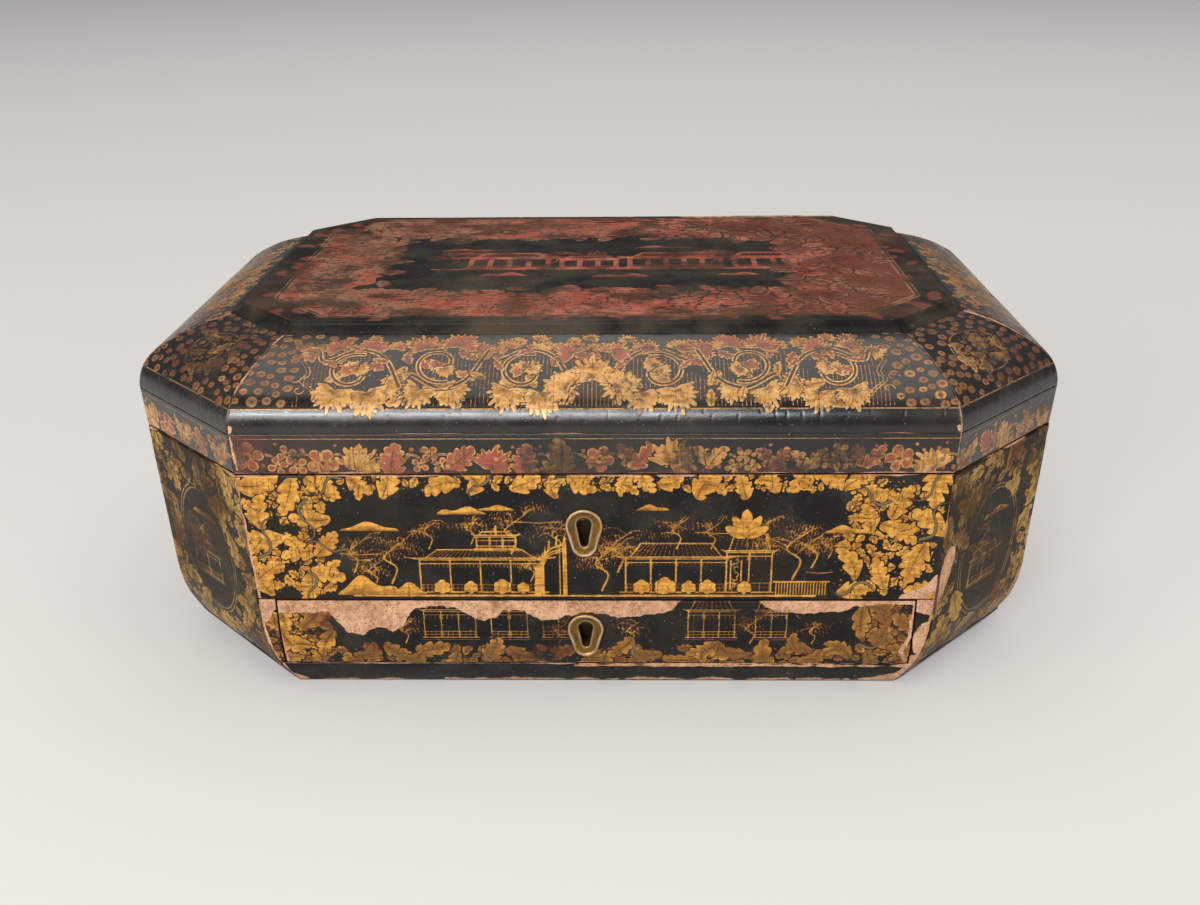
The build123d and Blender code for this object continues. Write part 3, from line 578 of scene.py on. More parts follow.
def bodyPart(name, onSkin, least):
    # the solid's own faces but for its painted outside, whose rim is drawn inwards
    mesh = nodes[name].data
    mesh.calc_loop_triangles()
    points = np.zeros(len(mesh.vertices) * 3)
    mesh.vertices.foreach_get("co", points)
    points = points.reshape(-1, 3) / mm
    corners = np.zeros(len(mesh.loop_triangles) * 3, int)
    mesh.loop_triangles.foreach_get("vertices", corners)
    points, same = np.unique(np.round(points, 4), axis=0, return_inverse=True)
    corners = same.ravel()[corners].reshape(-1, 3)
    skin, normals = onSkin(points)
    first, second, third = (points[corners[:, k]] for k in range(3))
    facing = unit(np.cross(second - first, third - first))
    outside = skin[corners].all(1) & ((facing * normals[corners].mean(1)).sum(-1) > least)
    points = points - normals * reliefForm["skinDrop"] * skin[:, None]
    return points, corners[~outside]


def skinTest(side, profile):
    # tells which points of a board lie on its painted face, and which way that face looks there
    out, along, reach, _, _ = sideFrame(side)
    insets, heights = profile

    def test(points):
        inset = reach - points[:, 0] * out[0] - (points[:, 1] - form["middleY"]) * out[1]
        below, expected, above = (np.interp(points[:, 2] + step, heights, insets) for step in (-0.3, 0, 0.3))
        slope = (above - below) / 0.6
        normals = unit(np.stack([out[0] + 0 * slope, out[1] + 0 * slope, slope], axis=-1))
        level = (points[:, 2] > heights[0] - 0.02) & (points[:, 2] < heights[-1] + 0.02)
        gap = np.abs(inset - expected) * normals[:, :2].dot(out)
        return level & (gap < reliefForm["skinNear"]), normals

    return test


def addMesh(name, points, faces, sizes, skinAt, smooth, uv, layers, skins):
    # one mesh from whole arrays: faces of three or four corners, which skin each has, the map and the layers
    mesh = bpy.data.meshes.new(name)
    mesh.vertices.add(len(points))
    mesh.vertices.foreach_set("co", (points * mm).astype(np.float32).ravel())
    mesh.loops.add(len(faces))
    mesh.loops.foreach_set("vertex_index", faces.astype(np.int32))
    mesh.polygons.add(len(sizes))
    mesh.polygons.foreach_set("loop_start", np.concatenate([[0], np.cumsum(sizes)[:-1]]).astype(np.int32))
    mesh.polygons.foreach_set("material_index", skinAt.astype(np.int32))
    mesh.polygons.foreach_set("use_smooth", smooth)
    mesh.update(calc_edges=True)
    mesh.uv_layers.new(name="OFBake").data.foreach_set("uv", uv.astype(np.float32).ravel())
    for layer, values in layers.items():
        colours = mesh.attributes.new(layer, "FLOAT_COLOR", "POINT").data
        colours.foreach_set("color", values.astype(np.float32).ravel())
    for skin in skins:
        mesh.materials.append(skin)
    thing = bpy.data.objects.new(name, mesh)
    bpy.context.scene.collection.objects.link(thing)
    return thing


def gridFaces(rows, columns, first=0, keep=None):
    # quads of a grid, each counter-clockwise from outside
    index = np.arange(rows * columns).reshape(rows, columns) + first
    quads = np.stack([index[:-1, :-1], index[:-1, 1:], index[1:, 1:], index[1:, :-1]], axis=-1)
    return (quads.reshape(-1, 4) if keep is None else quads[keep]).reshape(-1, 4)


def dressGrid(points, sheet, rounding, hole=None):
    # the painted face in relief: chips sink, cracks cut in, paint stands up, and the rim turns into the wood;
    # gives its points, faces, map, paint and state
    layers, depths = sheet.layers, reliefForm
    normals = gridNormals(points)
    sink = np.zeros_like(sheet.u)
    for gap, radius in zip(sheet.gaps, rounding):
        if radius:
            inside = np.clip(radius - gap, 0, radius)
            sink += radius - np.sqrt(radius**2 - inside**2)
    bare = np.clip(layers["bare"] * 2 - 0.5, 0, 1)
    sink += depths["bare"] * bare * (0.8 + 0.4 * sheet.rough) + depths["crack"] * layers["crack"]
    sink += depths["swell"] * grain(sheet.u, sheet.v, 34.0, 9)
    sink += depths["ripple"] * grain(sheet.u, sheet.v, 8.0, 10)
    sink += depths["paint"] * (1 - np.clip(layers["motif"] * 2 - 0.5, 0, 1))
    relief = points - normals * sink[..., None]
    rows, columns = sheet.u.shape
    ringed, deep = (np.pad(values, ((1, 1), (1, 1), (0, 0)), mode="edge")
                    for values in (relief, normals * depths["depth"]))
    deep[1:-1, 1:-1] = 0
    for ring in (ringed, ringed.swapaxes(0, 1)):
        ring[0] += depths["dip"] * unit(ring[2] - ring[1])
        ring[-1] += depths["dip"] * unit(ring[-3] - ring[-2])
    ringed -= deep
    ringed[..., 2] = np.minimum(ringed[..., 2], points[..., 2].max())
    keep = None
    if hole is not None:
        cut = np.pad(hole(sheet.u, sheet.v), 1, mode="edge")
        keep = ~(cut[:-1, :-1] | cut[:-1, 1:] | cut[1:, 1:] | cut[1:, :-1])
    paint, state = (np.stack([np.pad(layers[name], 1, mode="edge").ravel() for name in names], axis=-1)
                    for names in (("motif", "gold", "stem", "vein"), ("bare", "crack", "rub", "tone")))
    share = np.stack(np.meshgrid(np.linspace(mapForm["low"], mapForm["high"], columns + 2),
                                 np.linspace(mapForm["painted"], mapForm["high"], rows + 2)), axis=-1)
    faces = gridFaces(rows + 2, columns + 2, keep=keep)
    return ringed.reshape(-1, 3), faces, share.reshape(-1, 2), paint, state


def patchMap(count):
    # a small cell of the map for each plain triangle, in the strip below the painted part
    across = max(int(np.ceil(np.sqrt(count * 8))), 8)
    step = 0.98 / across
    cell = np.stack([np.arange(count) % across, np.arange(count) // across], axis=-1) * step + 0.01
    high = min(1.0, 0.1 / (step * (count // across + 1)))
    corner = np.array([[0.1, 0.1], [0.8, 0.1], [0.1, 0.8]]) * step
    return ((cell[:, None] + corner[None]) * [1, high]).reshape(-1, 2)


def dressedBoard(name, grids, onSkin, skins, least=0.5):
    # one finished board: the solid's plain faces with the painted grids laid over its outside
    body, corners = bodyPart(name, onSkin, least)
    count, plain, unpainted = len(body), len(corners), np.zeros((len(body), 4))
    parts = [(body, corners.ravel(), np.full(plain, 3), np.ones(plain), np.zeros(plain, bool), patchMap(plain),
              unpainted, unpainted)]
    for k, (grid, quads, share, paint, state) in enumerate(grids):
        if len(grids) > 1:  # the main grid fills most of the map and the others share a strip
            start, strip = mapForm["painted"], mapForm["strip"]
            low, high = start + strip * (k - 1), start + strip * k - mapForm["stripGap"]
            if k == 0:
                low, high = mapForm["main"], mapForm["high"]
            up = low + (share[:, 1] - start) / (mapForm["high"] - start) * (high - low)
            share = np.stack([share[:, 0], up], axis=-1)
        parts.append((grid, quads.ravel() + count, np.full(len(quads), 4), np.zeros(len(quads)),
                      np.ones(len(quads), bool), share[quads].reshape(-1, 2), paint, state))
        count += len(grid)
    *shape, paint, state = (np.concatenate(column) for column in zip(*parts))
    thing = addMesh(name + "_painted", *shape, {"paint": paint, "state": state}, skins)
    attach(thing, nodes[name]["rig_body"])
    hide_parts(name)


# Materials
class Wire:
    # a shader socket that takes part in sums, products and comparisons
    def __init__(self, tree, socket):
        self.tree, self.socket = tree, socket

    def math(self, operation, other, flip=False):
        first, second = (other, self) if flip else (self, other)
        return node(self.tree, "Math", dict(operation=operation), **{"0": first, "1": second})

    def __add__(self, other): return self.math("ADD", other)
    def __mul__(self, other): return self.math("MULTIPLY", other)
    def __sub__(self, other): return self.math("SUBTRACT", other)
    def __rsub__(self, other): return self.math("SUBTRACT", other, flip=True)

    __radd__, __rmul__ = __add__, __mul__


def node(tree, kind, settings=None, out=0, **inputs):
    # any shader node: its settings first, then its sockets, by number or name, as values or wires
    made = tree.nodes.new("ShaderNode" + kind)
    for name, value in (settings or {}).items():
        if name == "stops":
            while len(made.color_ramp.elements) < len(value):
                made.color_ramp.elements.new(0.5)
            for stop, (at, colour) in zip(made.color_ramp.elements, value):
                stop.position, stop.color = at, (*colour, 1)
        else:
            setattr(made, name, value)
    for name, value in inputs.items():
        socket = made.inputs[int(name)] if name.isdigit() else made.inputs[name.replace("_", " ")]
        if isinstance(value, Wire):
            tree.links.new(value.socket, socket)
        else:
            socket.default_value = value
    return Wire(tree, made.outputs[out])


def outputs(wire):
    # every output of the node that a wire comes from
    return [Wire(wire.tree, socket) for socket in wire.socket.node.outputs]


def paintTools(tree):
    # the few moves that every material here makes
    place = node(tree, "TexCoord", out=3)

    def noise(scale, detail=3.0, rough=0.55, stretch=(1, 1, 1)):
        at = place if stretch == (1, 1, 1) else node(tree, "Mapping", Vector=place, Scale=stretch)
        return node(tree, "TexNoise", Vector=at, Scale=scale, Detail=detail, Roughness=rough)

    def between(value, low, high):
        smooth = dict(interpolation_type="SMOOTHSTEP")
        return node(tree, "MapRange", smooth, **{"0": value, "1": low, "2": high})

    def blend(share, first, second, way="MIX"):
        def filled(colour):
            return colour if isinstance(colour, Wire) else (*colour, 1)
        return node(tree, "Mix", dict(data_type="RGBA", blend_type=way, clamp_factor=True), out=2,
                    **{"0": share, "6": filled(first), "7": filled(second)})

    return noise, between, blend


def finishMaterial(name, build):
    # a material whose main shader takes the sockets that a function builds
    material = bpy.data.materials.new(name)
    material.use_nodes = True
    tree = material.node_tree
    shader = tree.nodes["Principled BSDF"]
    sockets = build(tree, *paintTools(tree))
    for socket, value in sockets.items():
        if isinstance(value, Wire):
            tree.links.new(value.socket, shader.inputs[socket])
        else:
            shader.inputs[socket].default_value = value
    return material


lacquerLook = {
    "black": (0.0062, 0.0060, 0.0056), "brown": (0.026, 0.018, 0.012), "brownShare": 0.5,
    "red": (0.21, 0.036, 0.016), "redPale": (0.36, 0.092, 0.048),
    "gold": (0.65, 0.32, 0.055), "goldDark": (0.38, 0.155, 0.024), "goldPale": (0.78, 0.49, 0.165),
    "shade": (0.16, 0.072, 0.020), "stem": (0.165, 0.125, 0.062),
    "bare": (0.37, 0.19, 0.105), "barePale": (0.56, 0.33, 0.20), "bareDark": (0.17, 0.075, 0.038),
    "worn": 0.3, "gloss": 0.25, "lustre": 0.18, "haze": (0.032, 0.030, 0.024), "hazeShare": 0.6, "metal": 0.3,
    # how streaks and engraved lines in the paint are stretched, and how strong the engraved lines are
    "grain": (1, 1, 6), "graving": (1, 1, 0.2), "graved": 0.35,
}


def lacquer(name, **changes):
    # painted lacquer, driven by the eight layers of its sheet
    look = {**lacquerLook, **changes}

    def build(tree, noise, between, blend):
        paint, state = (outputs(node(tree, "Attribute", dict(attribute_name=layer)))
                        for layer in ("paint", "state"))
        motif, gold, stem = outputs(node(tree, "SeparateColor", Color=paint[0]))
        bare, crack, rub = outputs(node(tree, "SeparateColor", Color=state[0]))
        vein, tone = paint[3], state[3]
        broad, mottle, speck, fine = noise(14), noise(70, 4), noise(420, 3, 0.6), noise(1500, 2)
        # lacquer ground: black to brown, with a bluish haze where it has dulled
        brown = between(broad * 0.6 + mottle * 0.4, 0.42, 0.66) * look["brownShare"]
        ground = blend(brown, look["black"], look["brown"])
        ground = blend(between(noise(48, 5, 0.65), 0.46, 0.7) * look["hazeShare"], ground, look["haze"])
        ground = blend(tone * 0.5, ground, look["red"])
        # paint: gold over red, rubbed through in specks
        streak = noise(130, 4, 0.6, look["grain"])
        worn = between(speck * 0.35 + mottle * 0.3 + streak * 0.35 + rub * 0.35, 0.72 - look["worn"] * 0.45,
                       0.80 - look["worn"] * 0.3)
        leafGold = blend(between(speck * 0.4 + streak * 0.6, 0.36, 0.6), look["goldDark"], look["gold"])
        leafGold = blend(between(fine * 0.4 + streak * 0.6, 0.52, 0.68) * 0.5, leafGold, look["goldPale"])
        leafRed = blend(between(mottle * 0.5 + speck * 0.5, 0.4, 0.62), look["red"], look["redPale"])
        keepGold = between(gold + (mottle - 0.5) * 0.9 + (speck - 0.5) * 0.5, 0.34, 0.6)
        ink = blend(keepGold, leafRed, leafGold)
        lines = noise(620, 1, 0.5, look["graving"])
        ink = blend(between(lines, 0.54, 0.62) * look["graved"], ink, look["shade"])
        ink = blend(between(tone + (speck - 0.5) * 0.5, 0.08, 0.75) * 0.85, ink, look["shade"])
        ink = blend(between(vein, 0.3, 0.62) * 0.8, ink, look["brown"])
        cover = between(motif, 0.34, 0.6)
        colour = blend(between(stem, 0.34, 0.6) * 0.8, ground, look["stem"])
        colour = blend(cover * (1 - worn * 0.85) * (1 - rub * 0.45), colour, ink)
        dirt = between(crack, 0.3, 0.6)
        colour = blend(dirt * 0.75, colour, (0.012, 0.009, 0.007))
        # bare ground where the lacquer has flaked off, darker at the edge of each flake
        flaked = between(bare, 0.44, 0.56)
        edge = between(bare, 0.36, 0.5) * (1 - between(bare, 0.5, 0.66))
        plaster = blend(between(speck * 0.5 + mottle * 0.5, 0.36, 0.6), look["bare"], look["barePale"])
        pits = between(fine * 0.5 + noise(190, 5, 0.7) * 0.5, 0.46, 0.64)
        plaster = blend(pits * 0.8, plaster, look["bareDark"])
        colour = blend(flaked, colour, plaster)
        colour = blend(edge * 0.5, colour, look["bareDark"])
        dust = between(noise(900, 2), 0.68, 0.78)
        colour = blend(dust * 0.5, colour, (0.36, 0.30, 0.23))
        rough = look["gloss"] + (mottle - 0.45) * 0.25 + cover * 0.16 + worn * 0.08
        rough = rough * (1 - flaked) + flaked * 0.85
        height = (speck * 0.35 + fine * 0.2) * (0.25 + flaked * 2.6) + cover * 0.5 + noise(48, 2) * 0.9
        bump = node(tree, "Bump", Height=height, Strength=0.35, Distance=0.0004)
        metal = cover * keepGold * look["metal"] * (1 - flaked)
        return {"Base Color": colour, "Roughness": rough, "Metallic": metal, "Normal": bump,
                "Specular IOR Level": look["lustre"]}

    return finishMaterial(name, build)


def plainWood(name, dark, pale, rough, lustre=0.4):
    # bare or thinly lacquered wood, with its grain along the box
    def build(tree, noise, between, blend):
        lines = noise(7.0, 6, 0.62, (4, 36, 36))
        wear = noise(22, 5, 0.6)
        colour = blend(between(lines, 0.3, 0.7), dark, pale)
        colour = blend(between(wear, 0.5, 0.75) * 0.5, colour, [value * 0.45 for value in dark])
        scuffs = between(noise(260, 4, 0.7), 0.60, 0.72)
        colour = blend(scuffs * 0.3, colour, [min(1, value * 2.2) for value in pale])
        bump = node(tree, "Bump", Height=lines * 0.6 + wear * 0.4, Strength=0.3, Distance=0.0004)
        return {"Base Color": colour, "Roughness": rough + (wear - 0.5) * 0.3, "Normal": bump,
                "Specular IOR Level": lustre}

    return finishMaterial(name, build)


def oldMetal(name, metal, tarnish, rough=0.38, tarnishShare=0.6):
    # metal tarnished in clouds and finely scratched, lighter where rubbed: worn brass, and a painted highlight
    # on a keyhole plate's rim
    def build(tree, noise, between, blend):
        cloud, speck = noise(180, 4), noise(1400, 3)
        dull = between(cloud * 0.7 + speck * 0.3, 0.42, 0.6) * tarnishShare
        colour = blend(dull, metal, tarnish)
        # worn bright brass at the keyhole, and on the rim's crest also a painted highlight
        rubbed = node(tree, "Attribute", dict(attribute_name="rubbed"), out=2)
        colour = blend(rubbed * (cloud + 0.35), colour, [min(1, value * 1.6 + 0.2) for value in metal])
        scratch = between(noise(900, 2, 0.5, (1, 0.12, 1)), 0.60, 0.7)
        colour = blend(scratch * 0.4, colour, [min(1, value * 1.35) for value in metal])
        bump = node(tree, "Bump", Height=cloud * 0.5 + speck * 0.3, Strength=0.25, Distance=0.0002)
        return {"Base Color": colour, "Metallic": 1.0 - dull * 0.35, "Normal": bump,
                "Roughness": rough + dull * 0.3 - scratch * 0.08}

    return finishMaterial(name, build)


materials = {
    "caseFront": lacquer("caseFrontLacquer"),
    "caseSides": lacquer("caseSidesLacquer", worn=0.42, brownShare=0.8, hazeShare=0.7, lustre=0.06,
                         grain=(4, 4, 1), haze=(0.034, 0.024, 0.011), black=(0.0105, 0.0070, 0.0035),
                         brown=(0.038, 0.022, 0.009), shade=(0.11, 0.062, 0.018),
                         goldDark=(0.28, 0.15, 0.034), gold=(0.46, 0.27, 0.065), goldPale=(0.62, 0.42, 0.17)),
    "lidFront": lacquer("lidLacquer", lustre=0.55, hazeShare=0.3, gloss=0.2, worn=0.4, graved=0.6,
                        gold=(0.58, 0.32, 0.105), goldPale=(0.72, 0.48, 0.22), red=(0.23, 0.046, 0.022)),
    "panel": lacquer("panelLacquer", worn=0.5, brownShare=1.0, metal=0.1, gloss=0.38, lustre=0.09, graved=0.6,
                     grain=(1, 7, 1), graving=(0.25, 1.6, 1), haze=(0.026, 0.028, 0.020),
                     brown=(0.055, 0.040, 0.026), shade=(0.10, 0.044, 0.028),
                     goldDark=(0.24, 0.095, 0.060), gold=(0.34, 0.17, 0.10), goldPale=(0.50, 0.33, 0.22),
                     red=(0.33, 0.064, 0.036), redPale=(0.52, 0.19, 0.13)),
    "foot": lacquer("footLacquer", gloss=0.4, red=(0.010, 0.008, 0.006)),
    "lidInside": plainWood("lidInsideLacquer", (0.030, 0.012, 0.008), (0.075, 0.022, 0.012), 0.42),
    "innerWood": plainWood("innerWood", (0.20, 0.115, 0.06), (0.34, 0.22, 0.13), 0.68),
    "caseInside": plainWood("caseInsideLacquer", (0.030, 0.012, 0.008), (0.080, 0.024, 0.013), 0.42),
    "tray": plainWood("trayLacquer", (0.055, 0.012, 0.008), (0.13, 0.032, 0.018), 0.36, lustre=0.5),
    "brass": oldMetal("agedBrass", (0.24, 0.125, 0.028), (0.055, 0.033, 0.014), tarnishShare=0.8),
    # lock cases: brass darkened all over as painted shade, so the lock seen through each keyhole looks dark
    "lock": oldMetal("shadedLockMetal", (0.085, 0.060, 0.030), (0.030, 0.022, 0.014), 0.5),
    # screw slots: near-black metal as painted shade, since the slots are too shallow to darken by themselves
    "slot": oldMetal("screwSlotShade", (0.030, 0.020, 0.012), (0.012, 0.010, 0.008), 0.6),
    "steel": oldMetal("dullSteel", (0.45, 0.43, 0.40), (0.13, 0.10, 0.08), 0.42),
}
print("materials made")


# The painted sheets

def rubAll(sheet, least, most, size, seed):
    # paint rubbed thin in clouds
    field = grain(sheet.u, sheet.v, size, seed)
    rubbed = np.clip(least + (most - least) * (field * 2.4 - 0.7), 0, 1)
    sheet.layers["rub"] = np.maximum(sheet.layers["rub"], rubbed)


def blushGround(sheet, strength, size, seed, where=1.0):
    # ground reddened in clouds
    field = np.clip(grain(sheet.u, sheet.v, size, seed) * 2.6 - 0.9, 0, 1)
    sheet.layers["tone"] = np.maximum(sheet.layers["tone"], strength * field * where)


def paintCaseFront(sheet):
    # leaf borders at both ends and hanging leaves above, about a garden with pavilions by the water
    for left, right in ((-128, -100), (93, 128)):
        vine(sheet, (left, right, 3, 50), (4.2, 6.4), 600, gold=0.97)
    vine(sheet, (-104, 100, 47, 52), (3.4, 5.2), 500, gold=lambda u, v: 0.85 if abs(u) < 80 else 0.97,
         stems=0.25, pack=1.05)
    for spot in ((-77, 7, 23), (-31, 20, 20), (75, 9, 27), (-14, 20, 16), (3, 4, 24), (-46, 24, 14),
                 (88, 18, 12), (-62, 22, 15), (31, 22, 16), (-91, 12, 17), (-84, 5, 15), (9, 12, 22),
                 (44, 22, 14), (64, 24, 13), (82, 14, 19), (-24, 8, 13)):
        willow(sheet, *spot)
    pavilion(sheet, -66, 3.2, 46, 25, 4, upper=True)
    gate(sheet, -20, 2.2, 9, 23)
    pavilion(sheet, 12, 3.2, 38, 22, 4)
    pavilion(sheet, 50, 3.2, 17, 26, 2)
    sheet.stroke([(-92, 1.6), (84, 1.6)], 0.7, gold=0.9, ragged=0.2)
    for at in np.arange(69, 88, 1.1):
        sheet.stroke([(at, 2), (at, 7.6)], 0.36, gold=0.95, shade=0.2)
    sheet.stroke([(68, 7.8), (89, 7.8)], 0.6)
    for side in (51.6, 55.6):  # a carved panel in the last bay
        sheet.stroke([(side, 4.4), (side, 17)], 0.5)
    for v in np.arange(5.5, 17, 1.9):
        sheet.stroke(spiral((53.6, v), 1.3, 0.5, v, v + 4.0, 9), 0.3)
    for land in ((-84, 30, 11, 3.4), (-49, 37, 9, 3.0), (-36, 38.5, 7, 2.0), (22, 38.5, 6, 2.0),
                 (-86, 2.4, 12, 8), (-72, 2.4, 8, 5), (94, 29, 8, 3)):
        isle(sheet, *land)
    for turn, size in ((90, 12), (60, 10), (120, 10), (28, 9), (152, 9)):
        sheet.lobes((57, 27), size, radians(turn), [(0, 1.0, 0.24)], gold=0.97, rim=0.2, point=0.6, gap=0.3)
    for u, size in ((-58, 4.2), (-47, 3.6), (-35, 4.6), (-27, 3.2), (18, 4.4), (27, 5.4), (36, 3.8), (43, 4.4),
                    (57, 3.6)):
        sheet.lobes((u, 4.4), size, pi / 2, vineFan, gold=0.97, veins=0.25, shade=0.1, gap=0.3)
        sheet.stroke([(u, 3.2), (u, 4.5)], 1.4, gold=0.95)
    for v, low, high in ((20, -96, -80), (17.5, -92, -84), (31, -18, -2), (33.5, -30, -12), (29, 38, 60),
                         (12, 80, 90)):  # lines of water
        sheet.stroke([(low, v), ((low + high) / 2, v - 0.5), (high, v)], 0.3, gold=0.95, shade=0.4)
    cracks(sheet, [[(u, 0), (u + 0.6, 20), (u - 0.4, 52.6)] for u in (-108, -71, -33, 24, 66, 104)], 0.24)
    uprightCracks(sheet, (-130, 130, 40, 52.6), 13, (0.2, 0.8), 5, 0.24)
    cracks(sheet, [[(-12, 42), (2, 26), (14, 12)], [(-2, 30), (8, 33), (20, 34)]], 0.2)
    wearEdges(sheet, (1.6, 1.0, 0.3, 0.9), 41)
    bareAlong(sheet,
              ([(-131, 36), (-130.4, 26), (-129.6, 14), (-129, 2)], 1.6, 1.0, 45),
              ([(131, 34), (130.6, 18), (130, 4)], 1.0, 1.0, 46),
              ([(118, 0.4), (125, 3), (130, 8)], 5.0, 1.6, 48),
              ([(-6, 52.7), (30, 52.4), (58, 52.9)], 0.8, 0.8, 47))


def paintDrawer(sheet):
    # a leaf border below and at the ends, remnants of a pavilion, and the bare ground along the worn top
    for left, width, bays in ((-66, 20, 3), (-40, 14, 2), (-20, 12, 2), (36, 18, 3), (62, 12, 2)):
        pavilion(sheet, left, 14, width, 18, bays, gold=0.8, line=0.2)
    for u, size in ((-74, 14), (-14, 12), (14, 13), (60, 15), (84, 12)):
        willow(sheet, u, 11, size)
    for box, radius, tries, shade in (((-122, 122, 0, 9.0), (3.8, 5.4), 700, 0.65),
                                      ((-122, -103, 6, 29), (4.2, 6.0), 200, 0.4),
                                      ((102, 121, 6, 29), (4.2, 6.0), 200, 0.55)):
        vine(sheet, box, radius, tries, gold=0.95, shade=shade, stems=0.1)
    bareAbove(sheet, [
        (-123, 25.5), (-103, 26), (-98.5, 19.5), (-96, 15.8), (-89.5, 15), (-87.5, 17.3), (-81, 18.8),
        (-78.5, 16.5), (-74, 18.8), (-72.5, 23.4), (-69, 27.2), (-58, 28.6), (-52, 26.8), (-47, 23.5),
        (-42, 22.5), (-38, 23), (-35, 27), (-27, 26.5), (-21, 21.5), (-14, 22), (-10, 25), (4, 24.5),
        (12, 23.5), (26, 25), (30, 27), (33, 31.5), (62, 31.5), (66, 27.5), (72, 25), (84, 25.5),
        (96, 26.5), (100, 28.8), (122, 29)], 1.2)
    bareAlong(sheet,
              ([(-122, 0.2), (-60, -0.8), (-20, 0.1), (122, 0.0)], 0.9, 0.9, 63),
              ([(-122.6, 31), (-122.5, 5)], 1.1, 0.5, 64),
              ([(122.2, 31), (121.6, 14), (119, 7), (121.4, 2)], 1.3, 0.9, 67))
    rubAll(sheet, 0.0, 0.35, 26, 65)
    wearEdges(sheet, (1.4, 1.8, 0.6, 0.0), 66)


def shoulderLine(sheet, far):
    # the thin line over the bare glossy arris
    sheet.stroke([(-far, 9.4), (far, 9.4)], 0.4, gold=0.8, rub=0.25)


def paintShoulder(sheet, seed, reach):
    # the lid's shoulder: a bare glossy arris, then scrolls on upright hatching and eye spots at the ends
    edge, far, uniform = reach + 4, np.abs(sheet.u).max(), sheet.uniform
    shoulderLine(sheet, far)
    hatch(sheet, (-edge + 3, 10.4), (edge - 3, 42), 1.5, 0.22)

    def tone(u, v):
        return float(np.clip(1.0 - (v - 19) / 9, 0.04, 1))
    for u, v, size in scatter(sheet.rng, (-edge + 6, edge - 6, 37.5, 44), (2.8, 4.4), 300, pack=0.9):
        plume(sheet, (u, v), size * 1.4, uniform(0.3, pi - 0.3), 0.1, uniform(0, 0.3))
    for u, v, size in scatter(sheet.rng, (-edge + 4, edge - 4, 12.5, 36), (2.6, 4.0), 300, pack=1.3):
        sheet.leaf((u, v), size * 1.3, uniform(0, tau), tone(u, v), 0.6, 3, rim=0.2, shade=0.1)
    rinceau(sheet, 27.5, reach, 31.5, 27, tone)
    plume(sheet, (0, 22), 12, pi / 2, 1.0)
    for sign in (-1, 1):
        plume(sheet, (sign * 9, 18), 10, pi / 2 - sign * 1.2, 1.0)
        plume(sheet, (sign * 7, 35), 9, pi / 2 - sign * 0.7, 0.15)
    sheet.disc((0, 27), 3.4, gold=1.0, squash=0.8, ragged=0.3, gap=0.3)
    for angle in np.linspace(0, pi, 7):
        sheet.stroke([(0, 27), (4.6 * cos(angle), 27 + 5.4 * sin(angle))], 0.3, "vein", taper=0.3)
    bracket = curve([(edge - 6, 11), (edge - 1, 17), (edge + 3, 21), (edge + 1, 25), (edge + 4, 31)], 18)
    for sign in (-1, 1):
        for shift in (0, 1.5):
            sheet.stroke((bracket + [shift, 0]) * [sign, 1], 0.3, gold=0.9, shade=0.2)
        for at, up, size in ((edge + 6.5, 22.5, 2.6), (edge + 4.5, 17, 2.2)):
            sheet.stroke(spiral((sign * at, up), size, size * 0.3, 0, sign * 4.4), 0.4, gold=0.9, shade=0.1)
    for box in ((-far, -edge - 7, 10.5, 50), (edge + 7, far, 10.5, 50)):
        eyeSpots(sheet, box, (1.4, 2.1), 1500, lambda s: abs(s[0]) > edge + 7 - (s[1] > 33) * (s[1] - 33) * 1.1)
    eyeSpots(sheet, (-far, far, 10.5, 47), (1.4, 2.0), 1200,
             lambda s: edge - 12 < abs(s[0]) < edge + 9 and s[1] > 30 + (edge + 9 - abs(s[0])) * 0.65, gold=0.2)
    uprightCracks(sheet, (-far, far, 0, 10), 9, (0.5, 1.0), seed, 0.28)
    uprightCracks(sheet, (-far, far, 8, 48), 32, (0.4, 1.0), seed + 1, 0.22)
    rubAll(sheet, 0.0, 0.18, 22, seed + 3)
    wearEdges(sheet, (1.2, 1.2, 0.4, 0.0), seed + 4)
    for sign in (-1, 1):
        bareAlong(sheet, ([(sign * 133, 0.0), (sign * 131, 2.5)], 1.2, 1.6, seed + 6))


def oval(sheet, count, v, wide, high, width, gold, shade):
    # a thin oval line about a point over the middle of the sheet
    ring = np.linspace(0, tau, count)
    sheet.stroke(np.stack([wide * np.cos(ring), v + high * np.sin(ring)], -1), width, gold=gold, shade=shade)


def paintCantedShoulder(sheet, seed):
    # a cut corner of the lid: eye spots about an oval wreath of flowers
    shoulderLine(sheet, 36)
    eyeSpots(sheet, (-36, 36, 10.5, 47), (1.5, 2.0), 1800,
             lambda s: np.hypot(s[0] / 16.5, (s[1] - 27) / 12.5) > 1, gold=0.35)
    oval(sheet, 40, 27, 14.5, 10.8, 0.5, 0.85, 0.4)
    vine(sheet, (-13, 13, 18, 36), (2.6, 3.8), 260, gold=0.85, shade=0.12, stems=0, rim=0.25,
         allowed=lambda s: np.hypot(s[0] / 13, (s[1] - 27) / 9.5) < 1)
    uprightCracks(sheet, (-36, 36, 0, 10), 9, (0.5, 1.0), seed, 0.28)
    rubAll(sheet, 0.1, 0.5, 18, seed + 3)
    wearEdges(sheet, (1.8, 1.8, 0.5, 0.0), seed + 4)


